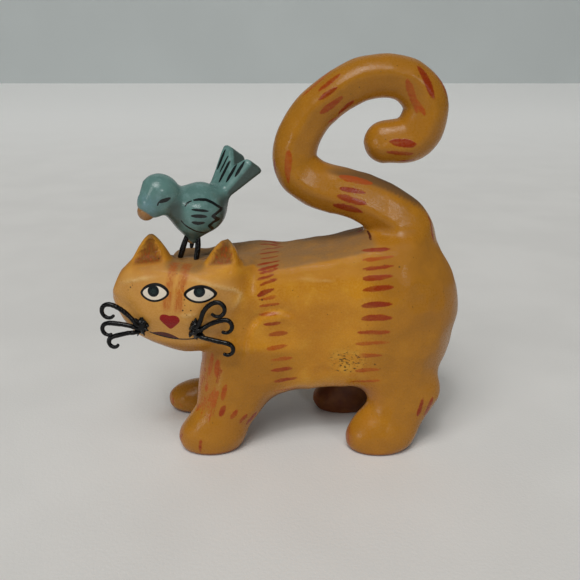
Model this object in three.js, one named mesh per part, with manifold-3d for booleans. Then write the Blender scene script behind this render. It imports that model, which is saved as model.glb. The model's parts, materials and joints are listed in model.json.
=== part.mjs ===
// A carved and painted figurine: a standing cat with its tail curled over its back, wire
// whiskers, and a small bird on wire legs between its ears.
// Millimetres. +Z is up and the soles stand on z = 0. The cat's body lies along X with the
// head toward -X, and its face is turned toward -Y.

import * as THREE from 'three';
import Module from 'manifold-3d';

// Driving sizes.

const HEIGHT = 139.6;          // from the soles to the top of the tail's loop
const BODY_WIDTH = 38;         // across the cat's flanks
const TAIL_THICKNESS = 15.4;   // the tail's rod at the top of its loop
const WHISKER_WIRE = 1.16;     // diameter
const LEG_WIRE = 1.5;          // diameter of the bird's leg wires
const FIT_GAP = 0.3;           // clearance round every wire where it enters a carved piece
const WIRE_DEPTH = 2.4;        // how far a leg wire is let into the wood
const POCKET_DEPTH = 1.8;      // how far the whiskers are let into the cheek

// Fineness of the facets.

const CAT_CELL = 1.5;          // marching cell in drawing units
const CAT_FACES = 6100;
const BIRD_CELL = 0.75;
const BIRD_FACES = 1150;
const WIRE_SIDES = 7;

// The figure is drawn at a height of 139.6 and scaled to HEIGHT, so every proportion below is a
// share of the figure's own height.
const DRAWN_HEIGHT = 139.6;
const SCALE = HEIGHT / DRAWN_HEIGHT;
const drawn = (size) => size / SCALE;

const HALF_WIDTH = drawn(BODY_WIDTH) / 2;
const TAIL_SHARE = drawn(TAIL_THICKNESS) / 15.4;

const TAU = Math.PI * 2;
const rad = (degrees) => degrees * Math.PI / 180;
const size3 = (x, y, z) => Math.sqrt(x * x + y * y + z * z);

// Soft solids: each shape is a function of x, y, z that is negative inside.

function join(a, b, k) {
  const h = Math.max(k - Math.abs(a - b), 0) / k;
  return Math.min(a, b) - h * h * k * 0.25;
}

function cut(a, b, k) {
  return -join(-a, -b, k);
}

function egg(x, y, z, c, r) {
  const px = (x - c[0]) / r[0];
  const py = (y - c[1]) / r[1];
  const pz = (z - c[2]) / r[2];
  const k0 = size3(px, py, pz) + 1e-9;
  const k1 = size3(px / r[0], py / r[1], pz / r[2]) + 1e-9;
  return k0 * (k0 - 1) / k1;
}

// A limb between two balls; flat squeezes it across Y.
function limb(x, y, z, a, b, ra, rb, flat = 1) {
  const s = 1 / flat;
  const dx = b[0] - a[0];
  const dy = (b[1] - a[1]) * s;
  const dz = b[2] - a[2];
  const px = x - a[0];
  const py = (y - a[1]) * s;
  const pz = z - a[2];
  let t = (px * dx + py * dy + pz * dz) / (dx * dx + dy * dy + dz * dz);
  t = Math.min(Math.max(t, 0), 1);
  const d = size3(px - t * dx, py - t * dy, pz - t * dz) - (ra + (rb - ra) * t);
  return d * Math.min(flat, 1);
}

// The cat's tail: a carved rod along a curl in the X-Z plane.

// x, z and half thickness, from the rump to the tip of the curl
const TAIL_CURL = [
  [42, 68, 11.0],
  [41.6, 77, 10.3],
  [37.6, 84.6, 9.5],
  [25.3, 91.6, 8.8],
  [7.6, 97.2, 8.5],
  [1.5, 106.5, 8.0],
  [7.8, 120.6, 7.7],
  [22.6, 131.2, 7.4],
  [37.6, 131.8, 7.6],
  [45.6, 123.4, 8.0],
  [42.2, 112.9, 8.4],
  [32.5, 110.9, 7.5],
];
const TAIL_STEPS = 110;
const RIDGE = 0.22;            // the ridge along the tail's side, as a share of its half thickness
const OUTER_FACE = rad(33);
const INNER_FACE = rad(20);

function tailLine() {
  const knots = TAIL_CURL.map(([x, z, r]) => new THREE.Vector3(x, r * TAIL_SHARE, z));
  const curve = new THREE.CatmullRomCurve3(knots, false, 'catmullrom', 0.5);
  const line = [];
  for (let i = 0; i <= TAIL_STEPS; i++) {
    const p = curve.getPoint(i / TAIL_STEPS);
    line.push([p.x, p.z, p.y]);
  }
  return line;
}

const TAIL_LINE = tailLine();

function tail(x, y, z) {
  if (z < 52 || x < -22) return 30;
  let best = 1e9;
  let dist = 0;
  let radius = 1;
  let side = 0;
  for (let i = 0; i < TAIL_STEPS; i++) {
    const a = TAIL_LINE[i];
    const b = TAIL_LINE[i + 1];
    const ex = b[0] - a[0];
    const ez = b[1] - a[1];
    let t = ((x - a[0]) * ex + (z - a[1]) * ez) / (ex * ex + ez * ez);
    t = Math.min(Math.max(t, 0), 1);
    const dx = x - a[0] - t * ex;
    const dz = z - a[1] - t * ez;
    const r = a[2] + t * (b[2] - a[2]);
    const d = Math.sqrt(dx * dx + dz * dz);
    if (d - r < best) {
      best = d - r;
      dist = d;
      radius = r;
      side = dz * ex - dx * ez;
    }
  }
  // out is positive on the outer side of the curl
  const out = side > 0 ? dist : -dist;
  const ay = Math.abs(y);
  const half = 0.98 * radius;
  const ridge = RIDGE * radius;
  const edges = cut(out - radius, -out - radius, 1);
  const outer = (out - ridge) * Math.sin(OUTER_FACE) + (ay - half) * Math.cos(OUTER_FACE);
  const inner = -(out - ridge) * Math.sin(INNER_FACE) + (ay - half) * Math.cos(INNER_FACE);
  const rod = size3(dist, ay, 0) - radius * 1.04;
  return cut(cut(edges, cut(outer, inner, 1.2), 5), rod - 0.4, 2);
}

// The cat's body.

function trunk(x, y, z) {
  const back = cut(70, 72.9 + 0.19 * x, 3);
  const high = z - 50 - 0.8 * (back - 70);
  const side = Math.abs(y) + 0.0035 * Math.min(high, 0) ** 2 - HALF_WIDTH;
  const bevel = (Math.abs(y) - HALF_WIDTH) * 0.906 + (high - 10.5) * 0.423;
  const flank = cut(side, bevel, 4.5);
  const belly = 20.9 + 0.05 * x - z;
  const chest = (-29.8 - x) * 0.98 + (z - 40) * 0.19;
  const barrel = cut(cut(belly, flank, 11), cut(chest, x - 46, 3), 12);
  return cut(barrel, (z - back + 0.004 * y * y) * 0.98, 6.5);
}

function neck(x, y, z) {
  const end = (-45.5 - x) * 0.94 - (z - 70) * 0.34;
  const slab = cut(cut(z - 70.1, 46 - z, 6), Math.abs(y - 1.5) - 13.5, 7);
  return cut(slab, cut(end, x + 8, 3), 7);
}

// Each leg: shoulder or hip, ankle, their radii, how flat it is, then the foot's egg.
const LEGS = [
  { top: [-14.5, -9, 34], ankle: [-25.0, -13.8, 12], r: [14.5, 9.8], flat: 0.80,
    foot: [-29.6, -14.6, 4.8], size: [11.6, 8.2, 9.4], soft: 5 },
  { top: [42.6, -9, 36], ankle: [37.6, -13.4, 10], r: [11.6, 8.6], flat: 0.80,
    foot: [32.2, -14.8, 4.8], size: [11.2, 8.3, 10.0], soft: 6 },
  { top: [-20, 9, 34], ankle: [-27, 13.6, 11], r: [13, 8], flat: 0.85,
    foot: [-38.2, 14.6, 4.8], size: [11.5, 7.4, 7.2], soft: 5 },
  { top: [38, 9, 34], ankle: [27, 13.6, 12], r: [13, 9.4], flat: 0.82,
    foot: [20.8, 15.0, 4.8], size: [11.1, 7.4, 8.6], soft: 6 },
];
const HOCK = { a: [47.4, -12, 22.6], b: [39.8, -13.6, 7], ra: 7.6, rb: 5.2 };

function legs(x, y, z) {
  let all = 1e9;
  for (const leg of LEGS) {
    const shank = limb(x, y, z, leg.top, leg.ankle, leg.r[0], leg.r[1], leg.flat);
    const d = join(shank, egg(x, y, z, leg.foot, leg.size), leg.soft);
    all = Math.min(all, d);
  }
  return join(all, limb(x, y, z, HOCK.a, HOCK.b, HOCK.ra, HOCK.rb, 0.9), 4);
}

// The cat's head, drawn in its own frame: u across, v toward the viewer, w up.

const HEAD_AT = [-39.3, -12, 56.5];
const HEAD_TURN = rad(-6);
const HEAD_TILT = rad(4.5);

function frameAxes() {
  const m = new THREE.Matrix4().makeRotationZ(HEAD_TURN);
  m.multiply(new THREE.Matrix4().makeRotationY(HEAD_TILT));
  const u = new THREE.Vector3();
  const back = new THREE.Vector3();
  const w = new THREE.Vector3();
  m.extractBasis(u, back, w);
  return { u: u.toArray(), v: back.negate().toArray(), w: w.toArray() };
}

const HEAD_AXES = frameAxes();

function headPoint(u, v, w) {
  const p = [0, 1, 2].map((i) => HEAD_AT[i]
    + u * HEAD_AXES.u[i] + v * HEAD_AXES.v[i] + w * HEAD_AXES.w[i]);
  return p;
}

function cheeks(u, v) {
  return (v - 11.5) * 0.86 + (Math.abs(u + 0.3) - 12.5) * 0.46;
}

function jaw(u, w, half) {
  const au = Math.abs(u + 0.3);
  return cut(au - half, au * 0.71 - w * 0.705 - 17.5, 5);
}

function skull(u, v, w) {
  let outline = jaw(u, w, 23.8);
  outline = cut(outline, Math.hypot(u - 2.8, 3.5) * 0.285 - w * 0.958 - 17.3, 3);
  outline = cut(outline, -u * 0.726 + w * 0.688 - 21.8, 7);
  const forehead = (v - 11.6) * 0.84 + (w - 11) * 0.54;
  const face = (v - 13) * 0.985 + (w - 0.5) * 0.10;
  const muzzle = (v - 13) * 0.93 - (w - 0.5) * 0.36;
  const front = cut(cut(cut(forehead, face, 1.6), muzzle, 1.6), cheeks(u, v), 3);
  const lens = cut(outline, front, 5.5);
  return cut(cut(lens, w - 16.2 - 0.02 * u, 2.4), -v - 9, 9);
}

// Each ear: left and right edge planes (normal in u and w, offset), height, and the hollow.
const EARS = [
  { left: [-0.894, 0.45, 21.0], right: [0.876, 0.482, 6.1], high: 27.2, hollow: [-9.6, -8.6] },
  { left: [-0.889, 0.458, -0.4], right: [0.971, 0.238, 25.0], high: 28.9, hollow: [16.4, 17.0] },
];

function ear(u, v, w, e) {
  const edges = cut(u * e.left[0] + w * e.left[1] - e.left[2],
    u * e.right[0] + w * e.right[1] - e.right[2], 2.2);
  const front = (v - 7.6) * 0.97 + (w - 16) * 0.24;
  const back = -(v + 1) * 0.93 + (w - 16) * 0.36;
  let d = cut(edges, cut(front, back, 2.5), 3);
  d = cut(cut(d, w - e.high, 2), 3 - w, 2);
  d = cut(cut(d, jaw(u, w, 23.6), 2.5), cheeks(u, v), 2.5);
  const hollow = limb(u, v, w, [e.hollow[0], 10.2, 17.6], [e.hollow[1], 7.9, 22.6], 4.2, 1.9);
  return cut(d, -hollow, 1.6);
}

function head(x, y, z) {
  const px = x - HEAD_AT[0];
  const py = y - HEAD_AT[1];
  const pz = z - HEAD_AT[2];
  if (Math.abs(px) > 42 || Math.abs(py) > 34 || pz < -34) return 15;
  const A = HEAD_AXES;
  const u = px * A.u[0] + py * A.u[1] + pz * A.u[2];
  const v = px * A.v[0] + py * A.v[1] + pz * A.v[2];
  const w = px * A.w[0] + py * A.w[1] + pz * A.w[2];
  const ears = Math.min(ear(u, v, w, EARS[0]), ear(u, v, w, EARS[1]));
  return join(skull(u, v, w), ears, 1.8);
}

function cat(x, y, z) {
  let d = join(trunk(x, y, z), egg(x, y, z, [37, 0, 51.2], [24.6, HALF_WIDTH + 1.6, 28.6]), 7);
  d = join(d, neck(x, y, z), 8);
  d = join(d, legs(x, y, z), 7);
  d = join(d, tail(x, y, z), 3.5);
  d = join(d, head(x, y, z), 5);
  return cut(d, -z, 1.4);
}

// The bird, drawn in its own frame: a forward, b to its near side, c up.

const BIRD_AT = [-30.9, -8, 89.7];
const BIRD_TURN = rad(30);
const BIRD_AXES = {
  a: [-Math.cos(BIRD_TURN), -Math.sin(BIRD_TURN), 0],
  b: [Math.sin(BIRD_TURN), -Math.cos(BIRD_TURN), 0],
};

function birdTail(a, b, c) {
  // t runs out along the tail, n stands off its top face, which leans to the near side
  const t = -0.588 * a + 0.809 * c;
  const n = 0.809 * a + 0.588 * c + 0.27 * b + 0.6;
  const under = -(n + 5.6) * 0.975 - (t - 9) * 0.225;
  const edge = (Math.abs(b + 1.1) - 4.4 - (t - 9) * 0.27) * 0.97;
  const fork = cut(t - 23.4 + 0.14 * b, (t - 18.4) * 0.8 - Math.abs(b) * 0.9, 0.8);
  const slab = cut(cut(n + 1.4, under, 1.2), edge, 2.2);
  return cut(slab, cut(fork, 3 - t, 1), 1.8);
}

function bird(x, y, z) {
  const px = x - BIRD_AT[0];
  const py = y - BIRD_AT[1];
  const a = px * BIRD_AXES.a[0] + py * BIRD_AXES.a[1];
  const b = px * BIRD_AXES.b[0] + py * BIRD_AXES.b[1];
  const c = z - BIRD_AT[2];
  let d = egg(a, b, c, [0, 0, 0], [9.6, 7.9, 8.9]);
  d = join(d, limb(a, b, c, [4, 0, 0], [11, 0, 4.6], 6.9, 5.0), 2.5);
  const crown = limb(a, b, c, [14.1, 0, 6.9], [16.7, 0, 3.7], 6.3, 4.9);
  const beak = limb(a, b, c, [16.7, 0, 3.7], [18.9, 0, 1.1], 4.9, 3.0);
  d = join(d, Math.min(crown, beak), 2.6);
  d = join(d, limb(a, b, c, [2.6, 0, -5], [3.3, 0, -10.2], 5.0, 1.9), 3);
  return join(d, birdTail(a, b, c), 3);
}

// Marching tetrahedra: a closed surface with its corners shared.

// The six tetrahedra of a cube, as paths of its corner bits from corner 0 to corner 7.
const TETS = [[0, 1, 3, 7], [0, 3, 2, 7], [0, 2, 6, 7], [0, 6, 4, 7], [0, 4, 5, 7], [0, 5, 1, 7]];

function march(field, low, high, cell) {
  const n = low.map((v, i) => Math.ceil((high[i] - v) / cell) + 1);
  const at = (i, j, k) => (k * n[1] + j) * n[0] + i;
  const values = new Float64Array(n[0] * n[1] * n[2]);
  for (let k = 0; k < n[2]; k++) {
    for (let j = 0; j < n[1]; j++) {
      for (let i = 0; i < n[0]; i++) {
        const d = field(low[0] + i * cell, low[1] + j * cell, low[2] + k * cell);
        values[at(i, j, k)] = Math.abs(d) < 1e-4 * cell ? 1e-4 * cell : d;
      }
    }
  }
  const points = [];
  const faces = [];
  const shared = new Map();
  const place = (g) => [low[0] + (g % n[0]) * cell,
    low[1] + (Math.floor(g / n[0]) % n[1]) * cell,
    low[2] + Math.floor(g / (n[0] * n[1])) * cell];
  function crossing(g, h) {
    const key = g < h ? g * values.length + h : h * values.length + g;
    let id = shared.get(key);
    if (id === undefined) {
      const p = place(Math.min(g, h));
      const q = place(Math.max(g, h));
      const dp = values[Math.min(g, h)];
      const dq = values[Math.max(g, h)];
      const t = Math.min(Math.max(dp / (dp - dq), 0.2), 0.8);
      id = points.length / 3;
      points.push(p[0] + (q[0] - p[0]) * t, p[1] + (q[1] - p[1]) * t, p[2] + (q[2] - p[2]) * t);
      shared.set(key, id);
    }
    return id;
  }
  // Turn a triangle so that its normal points from the inner corner to the outer one.
  function face(p, q, r, inner, outer) {
    const P = points;
    const ux = P[3 * q] - P[3 * p];
    const uy = P[3 * q + 1] - P[3 * p + 1];
    const uz = P[3 * q + 2] - P[3 * p + 2];
    const vx = P[3 * r] - P[3 * p];
    const vy = P[3 * r + 1] - P[3 * p + 1];
    const vz = P[3 * r + 2] - P[3 * p + 2];
    const i = place(inner);
    const o = place(outer);
    const s = (uy * vz - uz * vy) * (o[0] - i[0]) + (uz * vx - ux * vz) * (o[1] - i[1])
      + (ux * vy - uy * vx) * (o[2] - i[2]);
    if (s > 0) faces.push(p, q, r);
    else faces.push(p, r, q);
  }
  for (let k = 0; k < n[2] - 1; k++) {
    for (let j = 0; j < n[1] - 1; j++) {
      for (let i = 0; i < n[0] - 1; i++) {
        const corner = (bits) => at(i + (bits & 1), j + ((bits >> 1) & 1), k + (bits >> 2));
        const first = values[corner(0)] < 0;
        let mixed = false;
        for (let bits = 1; bits < 8 && !mixed; bits++) mixed = (values[corner(bits)] < 0) !== first;
        if (!mixed) continue;
        for (const tet of TETS) {
          const ids = tet.map(corner);
          const ins = ids.filter((g) => values[g] < 0);
          const outs = ids.filter((g) => values[g] >= 0);
          if (ins.length === 1) {
            face(...outs.map((g) => crossing(ins[0], g)), ins[0], outs[0]);
          } else if (ins.length === 3) {
            face(...ins.map((g) => crossing(g, outs[0])), ins[0], outs[0]);
          } else if (ins.length === 2) {
            const ring = [crossing(ins[0], outs[0]), crossing(ins[0], outs[1]),
              crossing(ins[1], outs[1]), crossing(ins[1], outs[0])];
            face(ring[0], ring[1], ring[2], ins[0], outs[0]);
            face(ring[0], ring[2], ring[3], ins[0], outs[0]);
          }
        }
      }
    }
  }
  return { points, faces };
}

// Thinning: collapse the edges that matter least until few enough faces are left.

class Heap {
  constructor() {
    this.items = [];
  }

  push(item) {
    const a = this.items;
    let i = a.length;
    a.push(item);
    while (i > 0) {
      const up = (i - 1) >> 1;
      if (a[up].cost <= item.cost) break;
      a[i] = a[up];
      i = up;
    }
    a[i] = item;
  }

  pop() {
    const a = this.items;
    const top = a[0];
    const last = a.pop();
    if (a.length) {
      let i = 0;
      for (;;) {
        let down = 2 * i + 1;
        if (down >= a.length) break;
        if (down + 1 < a.length && a[down + 1].cost < a[down].cost) down++;
        if (a[down].cost >= last.cost) break;
        a[i] = a[down];
        i = down;
      }
      a[i] = last;
    }
    return top;
  }
}

function normalOf(p, q, r) {
  const u = [q[0] - p[0], q[1] - p[1], q[2] - p[2]];
  const v = [r[0] - p[0], r[1] - p[1], r[2] - p[2]];
  return [u[1] * v[2] - u[2] * v[1], u[2] * v[0] - u[0] * v[2], u[0] * v[1] - u[1] * v[0]];
}

function gapOf(p, q) {
  return size3(p[0] - q[0], p[1] - q[1], p[2] - q[2]);
}

// A face this thin, twice its area over its longest side squared, counts as a sliver.
const SLIVER = 0.09;

// A quadric is the upper half of a symmetric 4x4 matrix, ten numbers.
function addPlane(q, n, d, weight) {
  const v = [n[0], n[1], n[2], d];
  let at = 0;
  for (let i = 0; i < 4; i++) {
    for (let j = i; j < 4; j++) q[at++] += weight * v[i] * v[j];
  }
}

function quadricCost(q, p) {
  const [x, y, z] = p;
  return q[0] * x * x + 2 * q[1] * x * y + 2 * q[2] * x * z + 2 * q[3] * x
    + q[4] * y * y + 2 * q[5] * y * z + 2 * q[6] * y
    + q[7] * z * z + 2 * q[8] * z + q[9];
}

function quadricPoint(q, fallback) {
  const det = q[0] * (q[4] * q[7] - q[5] * q[5]) - q[1] * (q[1] * q[7] - q[5] * q[2])
    + q[2] * (q[1] * q[5] - q[4] * q[2]);
  if (Math.abs(det) < 1e-9) return fallback;
  const m = new THREE.Matrix3().set(q[0], q[1], q[2], q[1], q[4], q[5], q[2], q[5], q[7]);
  const p = new THREE.Vector3(-q[3], -q[6], -q[8]).applyMatrix3(m.invert());
  return p.toArray();
}

function thin(mesh, target) {
  const count = mesh.points.length / 3;
  const P = [];
  const Q = [];
  const fans = [];
  const version = new Int32Array(count);
  for (let i = 0; i < count; i++) {
    P.push([mesh.points[3 * i], mesh.points[3 * i + 1], mesh.points[3 * i + 2]]);
    Q.push(new Float64Array(10));
    fans.push(new Set());
  }
  const F = [];
  for (let f = 0; f < mesh.faces.length / 3; f++) {
    const tri = [mesh.faces[3 * f], mesh.faces[3 * f + 1], mesh.faces[3 * f + 2]];
    F.push(tri);
    const n = normalOf(P[tri[0]], P[tri[1]], P[tri[2]]);
    const size = size3(n[0], n[1], n[2]);
    for (const v of tri) fans[v].add(f);
    if (size < 1e-12) continue;
    const unit = n.map((c) => c / size);
    const d = -(unit[0] * P[tri[0]][0] + unit[1] * P[tri[0]][1] + unit[2] * P[tri[0]][2]);
    for (const v of tri) addPlane(Q[v], unit, d, size / 2);
  }
  const heap = new Heap();
  function offer(a, b) {
    const q = Q[a].map((v, i) => v + Q[b][i]);
    const mid = P[a].map((v, i) => (v + P[b][i]) / 2);
    const long = gapOf(P[a], P[b]);
    let p = quadricPoint(q, mid);
    if (!(gapOf(p, mid) < long * 1.5)) p = mid;
    const cost = Math.max(quadricCost(q, p), 0) + 2e-5 * long * long * long * long;
    heap.push({ cost, a, b, p, va: version[a], vb: version[b] });
  }
  function around(v) {
    const ring = new Set();
    for (const f of fans[v]) for (const w of F[f]) if (w !== v) ring.add(w);
    return ring;
  }
  // Would moving corner v to p fold a face over, or draw it out thinner than it is?
  function spoils(v, other, p) {
    for (const f of fans[v]) {
      const tri = F[f];
      if (tri[0] === other || tri[1] === other || tri[2] === other) continue;
      const i = tri.indexOf(v);
      const q = P[tri[(i + 1) % 3]];
      const r = P[tri[(i + 2) % 3]];
      const before = normalOf(P[v], q, r);
      const after = normalOf(p, q, r);
      const b = size3(...before);
      const a = size3(...after);
      const wasFull = b / Math.max(gapOf(P[v], q), gapOf(q, r), gapOf(r, P[v])) ** 2;
      const isFull = a / Math.max(gapOf(p, q), gapOf(q, r), gapOf(r, p)) ** 2;
      if (isFull < SLIVER && isFull < wasFull) return true;
      const dot = before[0] * after[0] + before[1] * after[1] + before[2] * after[2];
      if (wasFull > SLIVER / 2 && dot < 0.3 * a * b) return true;
    }
    return false;
  }
  for (let f = 0; f < F.length; f++) {
    for (let i = 0; i < 3; i++) {
      const a = F[f][i];
      const b = F[f][(i + 1) % 3];
      if (a < b) offer(a, b);
    }
  }
  let left = F.length;
  while (left > target && heap.items.length) {
    const { a, b, p, va, vb } = heap.pop();
    if (version[a] !== va || version[b] !== vb) continue;
    const ringA = around(a);
    const ringB = around(b);
    if (!ringA.has(b)) continue;
    let both = 0;
    for (const v of ringA) if (ringB.has(v)) both++;
    if (both !== 2 || ringA.size + ringB.size < 10) continue;
    if (spoils(a, b, p) || spoils(b, a, p)) continue;
    for (const f of [...fans[b]]) {
      if (F[f].includes(a)) {
        for (const v of F[f]) fans[v].delete(f);
        F[f] = null;
        left--;
      } else {
        F[f] = F[f].map((v) => (v === b ? a : v));
        fans[a].add(f);
      }
    }
    fans[b].clear();
    P[a] = p;
    Q[a] = Q[a].map((v, i) => v + Q[b][i]);
    version[b]++;
    version[a]++;
    for (const v of around(a)) offer(a, v);
  }
  const names = new Map();
  const points = [];
  const faces = [];
  for (const tri of F) {
    if (!tri) continue;
    for (const v of tri) {
      if (!names.has(v)) {
        names.set(v, names.size);
        points.push(...P[v]);
      }
      faces.push(names.get(v));
    }
  }
  return { points, faces };
}

// Move each corner onto the true surface, along the field's slope, by no more than the limit.
function settle(mesh, field, limit) {
  const e = 0.05;
  const P = mesh.points;
  for (let i = 0; i < P.length; i += 3) {
    const [x, y, z] = [P[i], P[i + 1], P[i + 2]];
    const d = field(x, y, z);
    const gx = field(x + e, y, z) - field(x - e, y, z);
    const gy = field(x, y + e, z) - field(x, y - e, z);
    const gz = field(x, y, z + e) - field(x, y, z - e);
    const g = size3(gx, gy, gz) + 1e-9;
    const move = Math.min(Math.max(d / (g / (2 * e)), -limit), limit);
    P[i] -= gx / g * move;
    P[i + 1] -= gy / g * move;
    P[i + 2] = Math.max(z - gz / g * move, 0);
    if (z < 0.35) P[i + 2] = 0;
  }
  return mesh;
}

// Joins and cuts.

const wasm = await Module();
wasm.setup();
const { Manifold, Mesh } = wasm;

function solidOf(points, faces) {
  const mesh = new Mesh({
    numProp: 3,
    vertProperties: Float32Array.from(points),
    triVerts: Uint32Array.from(faces),
  });
  mesh.merge();
  return new Manifold(mesh);
}

function solidOfGeometry(geometry) {
  const flat = geometry.index ? geometry.toNonIndexed() : geometry;
  const at = flat.attributes.position;
  const faces = Array.from({ length: at.count }, (_, i) => i);
  return solidOf(at.array, faces);
}

function geometryOf(solid) {
  const mesh = solid.getMesh();
  const geometry = new THREE.BufferGeometry();
  const position = new Float32Array(mesh.numVert * 3);
  for (let i = 0; i < mesh.numVert; i++) {
    for (let c = 0; c < 3; c++) position[3 * i + c] = mesh.vertProperties[i * mesh.numProp + c];
  }
  geometry.setAttribute('position', new THREE.BufferAttribute(position, 3));
  geometry.setIndex(new THREE.BufferAttribute(Uint32Array.from(mesh.triVerts), 1));
  geometry.computeVertexNormals();
  return geometry;
}

function carve(field, low, high, cell, faces, tools) {
  const dense = settle(march(field, low, high, cell), field, 0.6 * cell);
  const mesh = settle(thin(dense, faces), field, 0.25);
  let solid = solidOf(mesh.points.map((v) => v * SCALE), mesh.faces);
  for (const tool of tools) solid = solid.subtract(tool);
  return geometryOf(solid);
}

// Wires.

const vec = (p) => new THREE.Vector3(...p);

function disc(radius, sides) {
  const shape = new THREE.Shape();
  for (let i = 0; i < sides; i++) {
    const a = TAU * i / sides;
    if (i) shape.lineTo(radius * Math.cos(a), radius * Math.sin(a));
    else shape.moveTo(radius, 0);
  }
  shape.closePath();
  return shape;
}

function wire(points, diameter, steps) {
  const curve = points.length > 2
    ? new THREE.CatmullRomCurve3(points, false, 'centripetal')
    : new THREE.LineCurve3(points[0], points[1]);
  // a facetted wire keeps the round wire's section area
  const radius = diameter / 2 * Math.sqrt(TAU / WIRE_SIDES / Math.sin(TAU / WIRE_SIDES));
  return new THREE.ExtrudeGeometry(disc(radius, WIRE_SIDES), {
    extrudePath: curve, steps, bevelEnabled: false, curveSegments: 1,
  });
}

function rodAlong(from, to, radius, sides) {
  return new THREE.ExtrudeGeometry(disc(radius, sides), {
    extrudePath: new THREE.LineCurve3(from, to), steps: 1, bevelEnabled: false, curveSegments: 1,
  });
}

// Where a line going down meets a field.
function dropTo(field, x, y, z) {
  let at = z;
  for (let i = 0; i < 200; i++) {
    const d = field(x, y, at);
    if (d < 0.002) break;
    at -= d * 0.7;
  }
  return at;
}

// Whiskers: three a side, let into one pocket in each cheek.

const SKIN = [0, 0.933, -0.36];                 // the muzzle's outward direction in u, v, w
const WHISKER_PLANE = 13.6;                     // the curls lie this far in front of the head's middle
const SPACING = WHISKER_WIRE + FIT_GAP;
const CHEEKS = [
  { side: 'left', turn: 1, root: [-9.7, 10.9, -5.0] },
  { side: 'right', turn: -1, root: [8.9, 11.0, -3.6] },
];
// Each whisker: bend and end of its run in u and w, the curl's radius and sweep in degrees.
const WHISKERS = {
  left: [
    { name: 'upper', bend: [-16.2, 2.0], end: [-20.3, 2.3], curl: 2.35, sweep: 250 },
    { name: 'middle', bend: [-15.2, -4.1], end: [-20.8, -4.6], curl: 2.1, sweep: 222 },
    { name: 'lower', bend: [-13.3, -6.9], end: [-19.4, -9.6], curl: 1.8, sweep: 235 },
  ],
  right: [
    { name: 'upper', bend: [11.0, 5.1], end: [15.5, 7.2], curl: 2.45, sweep: 258 },
    { name: 'middle', bend: [14.3, 0.2], end: [19.0, 1.4], curl: 2.2, sweep: 228 },
    { name: 'lower', bend: [15.1, -6.4], end: [20.8, -7.1], curl: 2.0, sweep: 215 },
  ],
};
const ACROSS_SKIN = [0, 0.36, 0.933];           // up along the muzzle

function inHead(p) {
  return vec(headPoint(...p)).multiplyScalar(SCALE);
}

function off(p, direction, by) {
  return p.map((v, i) => v + direction[i] * by);
}

function whiskerPath(cheek, whisker, row) {
  const start = off(cheek.root, ACROSS_SKIN, drawn((1 - row) * SPACING));
  const path = [
    off(start, SKIN, -drawn(POCKET_DEPTH - FIT_GAP)),
    off(start, SKIN, drawn(0.4)),
  ];
  const lift = off(start, SKIN, 2.0);
  lift[0] -= cheek.turn * 0.7;
  path.push(lift);
  const from = [start[0] - cheek.turn * 1.9, start[2] + (1 - row) * 0.7];
  const run = new THREE.QuadraticBezierCurve(new THREE.Vector2(...from),
    new THREE.Vector2(...whisker.bend), new THREE.Vector2(...whisker.end));
  for (const t of [0.12, 0.4, 0.7, 1]) {
    const p = run.getPoint(t);
    path.push([p.x, WHISKER_PLANE, p.y]);
  }
  // the curl turns left on the left cheek and right on the right one
  const way = run.getTangent(1);
  const centre = [whisker.end[0] - cheek.turn * way.y * whisker.curl,
    whisker.end[1] + cheek.turn * way.x * whisker.curl];
  const first = Math.atan2(whisker.end[1] - centre[1], whisker.end[0] - centre[0]);
  const turns = Math.ceil(whisker.sweep / 45);
  for (let i = 1; i <= turns; i++) {
    const a = first + cheek.turn * rad(whisker.sweep) * i / turns;
    path.push([centre[0] + whisker.curl * Math.cos(a), WHISKER_PLANE + 0.12 * i,
      centre[1] + whisker.curl * Math.sin(a)]);
  }
  return path.map(inHead);
}

function pocket(cheek) {
  const half = WHISKER_WIRE / 2 + FIT_GAP;
  const shape = new THREE.Shape();
  shape.absarc(0, SPACING, half, 0, Math.PI, false);
  shape.absarc(0, -SPACING, half, Math.PI, TAU, false);
  shape.closePath();
  const body = new THREE.ExtrudeGeometry(shape, {
    depth: POCKET_DEPTH + 3, bevelEnabled: false, curveSegments: 5,
  });
  const out = vec(off(headPoint(...off(cheek.root, SKIN, 1)), headPoint(...cheek.root), -1));
  const up = vec(off(headPoint(...off(cheek.root, ACROSS_SKIN, 1)), headPoint(...cheek.root), -1));
  const across = new THREE.Vector3().crossVectors(up, out);
  const frame = new THREE.Matrix4().makeBasis(across, up, out);
  frame.setPosition(inHead(off(cheek.root, SKIN, -drawn(POCKET_DEPTH))));
  return solidOfGeometry(body.applyMatrix4(frame));
}

// The bird's legs.

// Each leg: where it stands on the cat's head and where it enters the bird, in drawing units.
const BIRD_LEGS = [
  { name: 'left', foot: [-38.0, -11.2], hip: [-35.0, -10.9, 81.2] },
  { name: 'right', foot: [-32.4, -12.2], hip: [-31.9, -9.2, 81.6] },
];

function legEnds(leg) {
  const [x, y] = leg.foot;
  const foot = new THREE.Vector3(x, y, dropTo(cat, x, y, HEAD_AT[2] + 27.5)).multiplyScalar(SCALE);
  const hip = vec(leg.hip).multiplyScalar(SCALE);
  const along = hip.clone().sub(foot).normalize();
  return {
    foot,
    along,
    low: foot.clone().addScaledVector(along, -WIRE_DEPTH),
    high: hip,
  };
}

const ends = BIRD_LEGS.map(legEnds);

// A short peg of thinner wire under the belly, between the legs.
const PEG_WIRE = 0.7 * LEG_WIRE;
const PEG_TOP = vec([-33.5, -9.6, 79.9]).multiplyScalar(SCALE);
const PEG_LOW = vec([-34.1, -10.1, 76.0]).multiplyScalar(SCALE);
const PEG_WAY = PEG_TOP.clone().sub(PEG_LOW).normalize();

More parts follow.
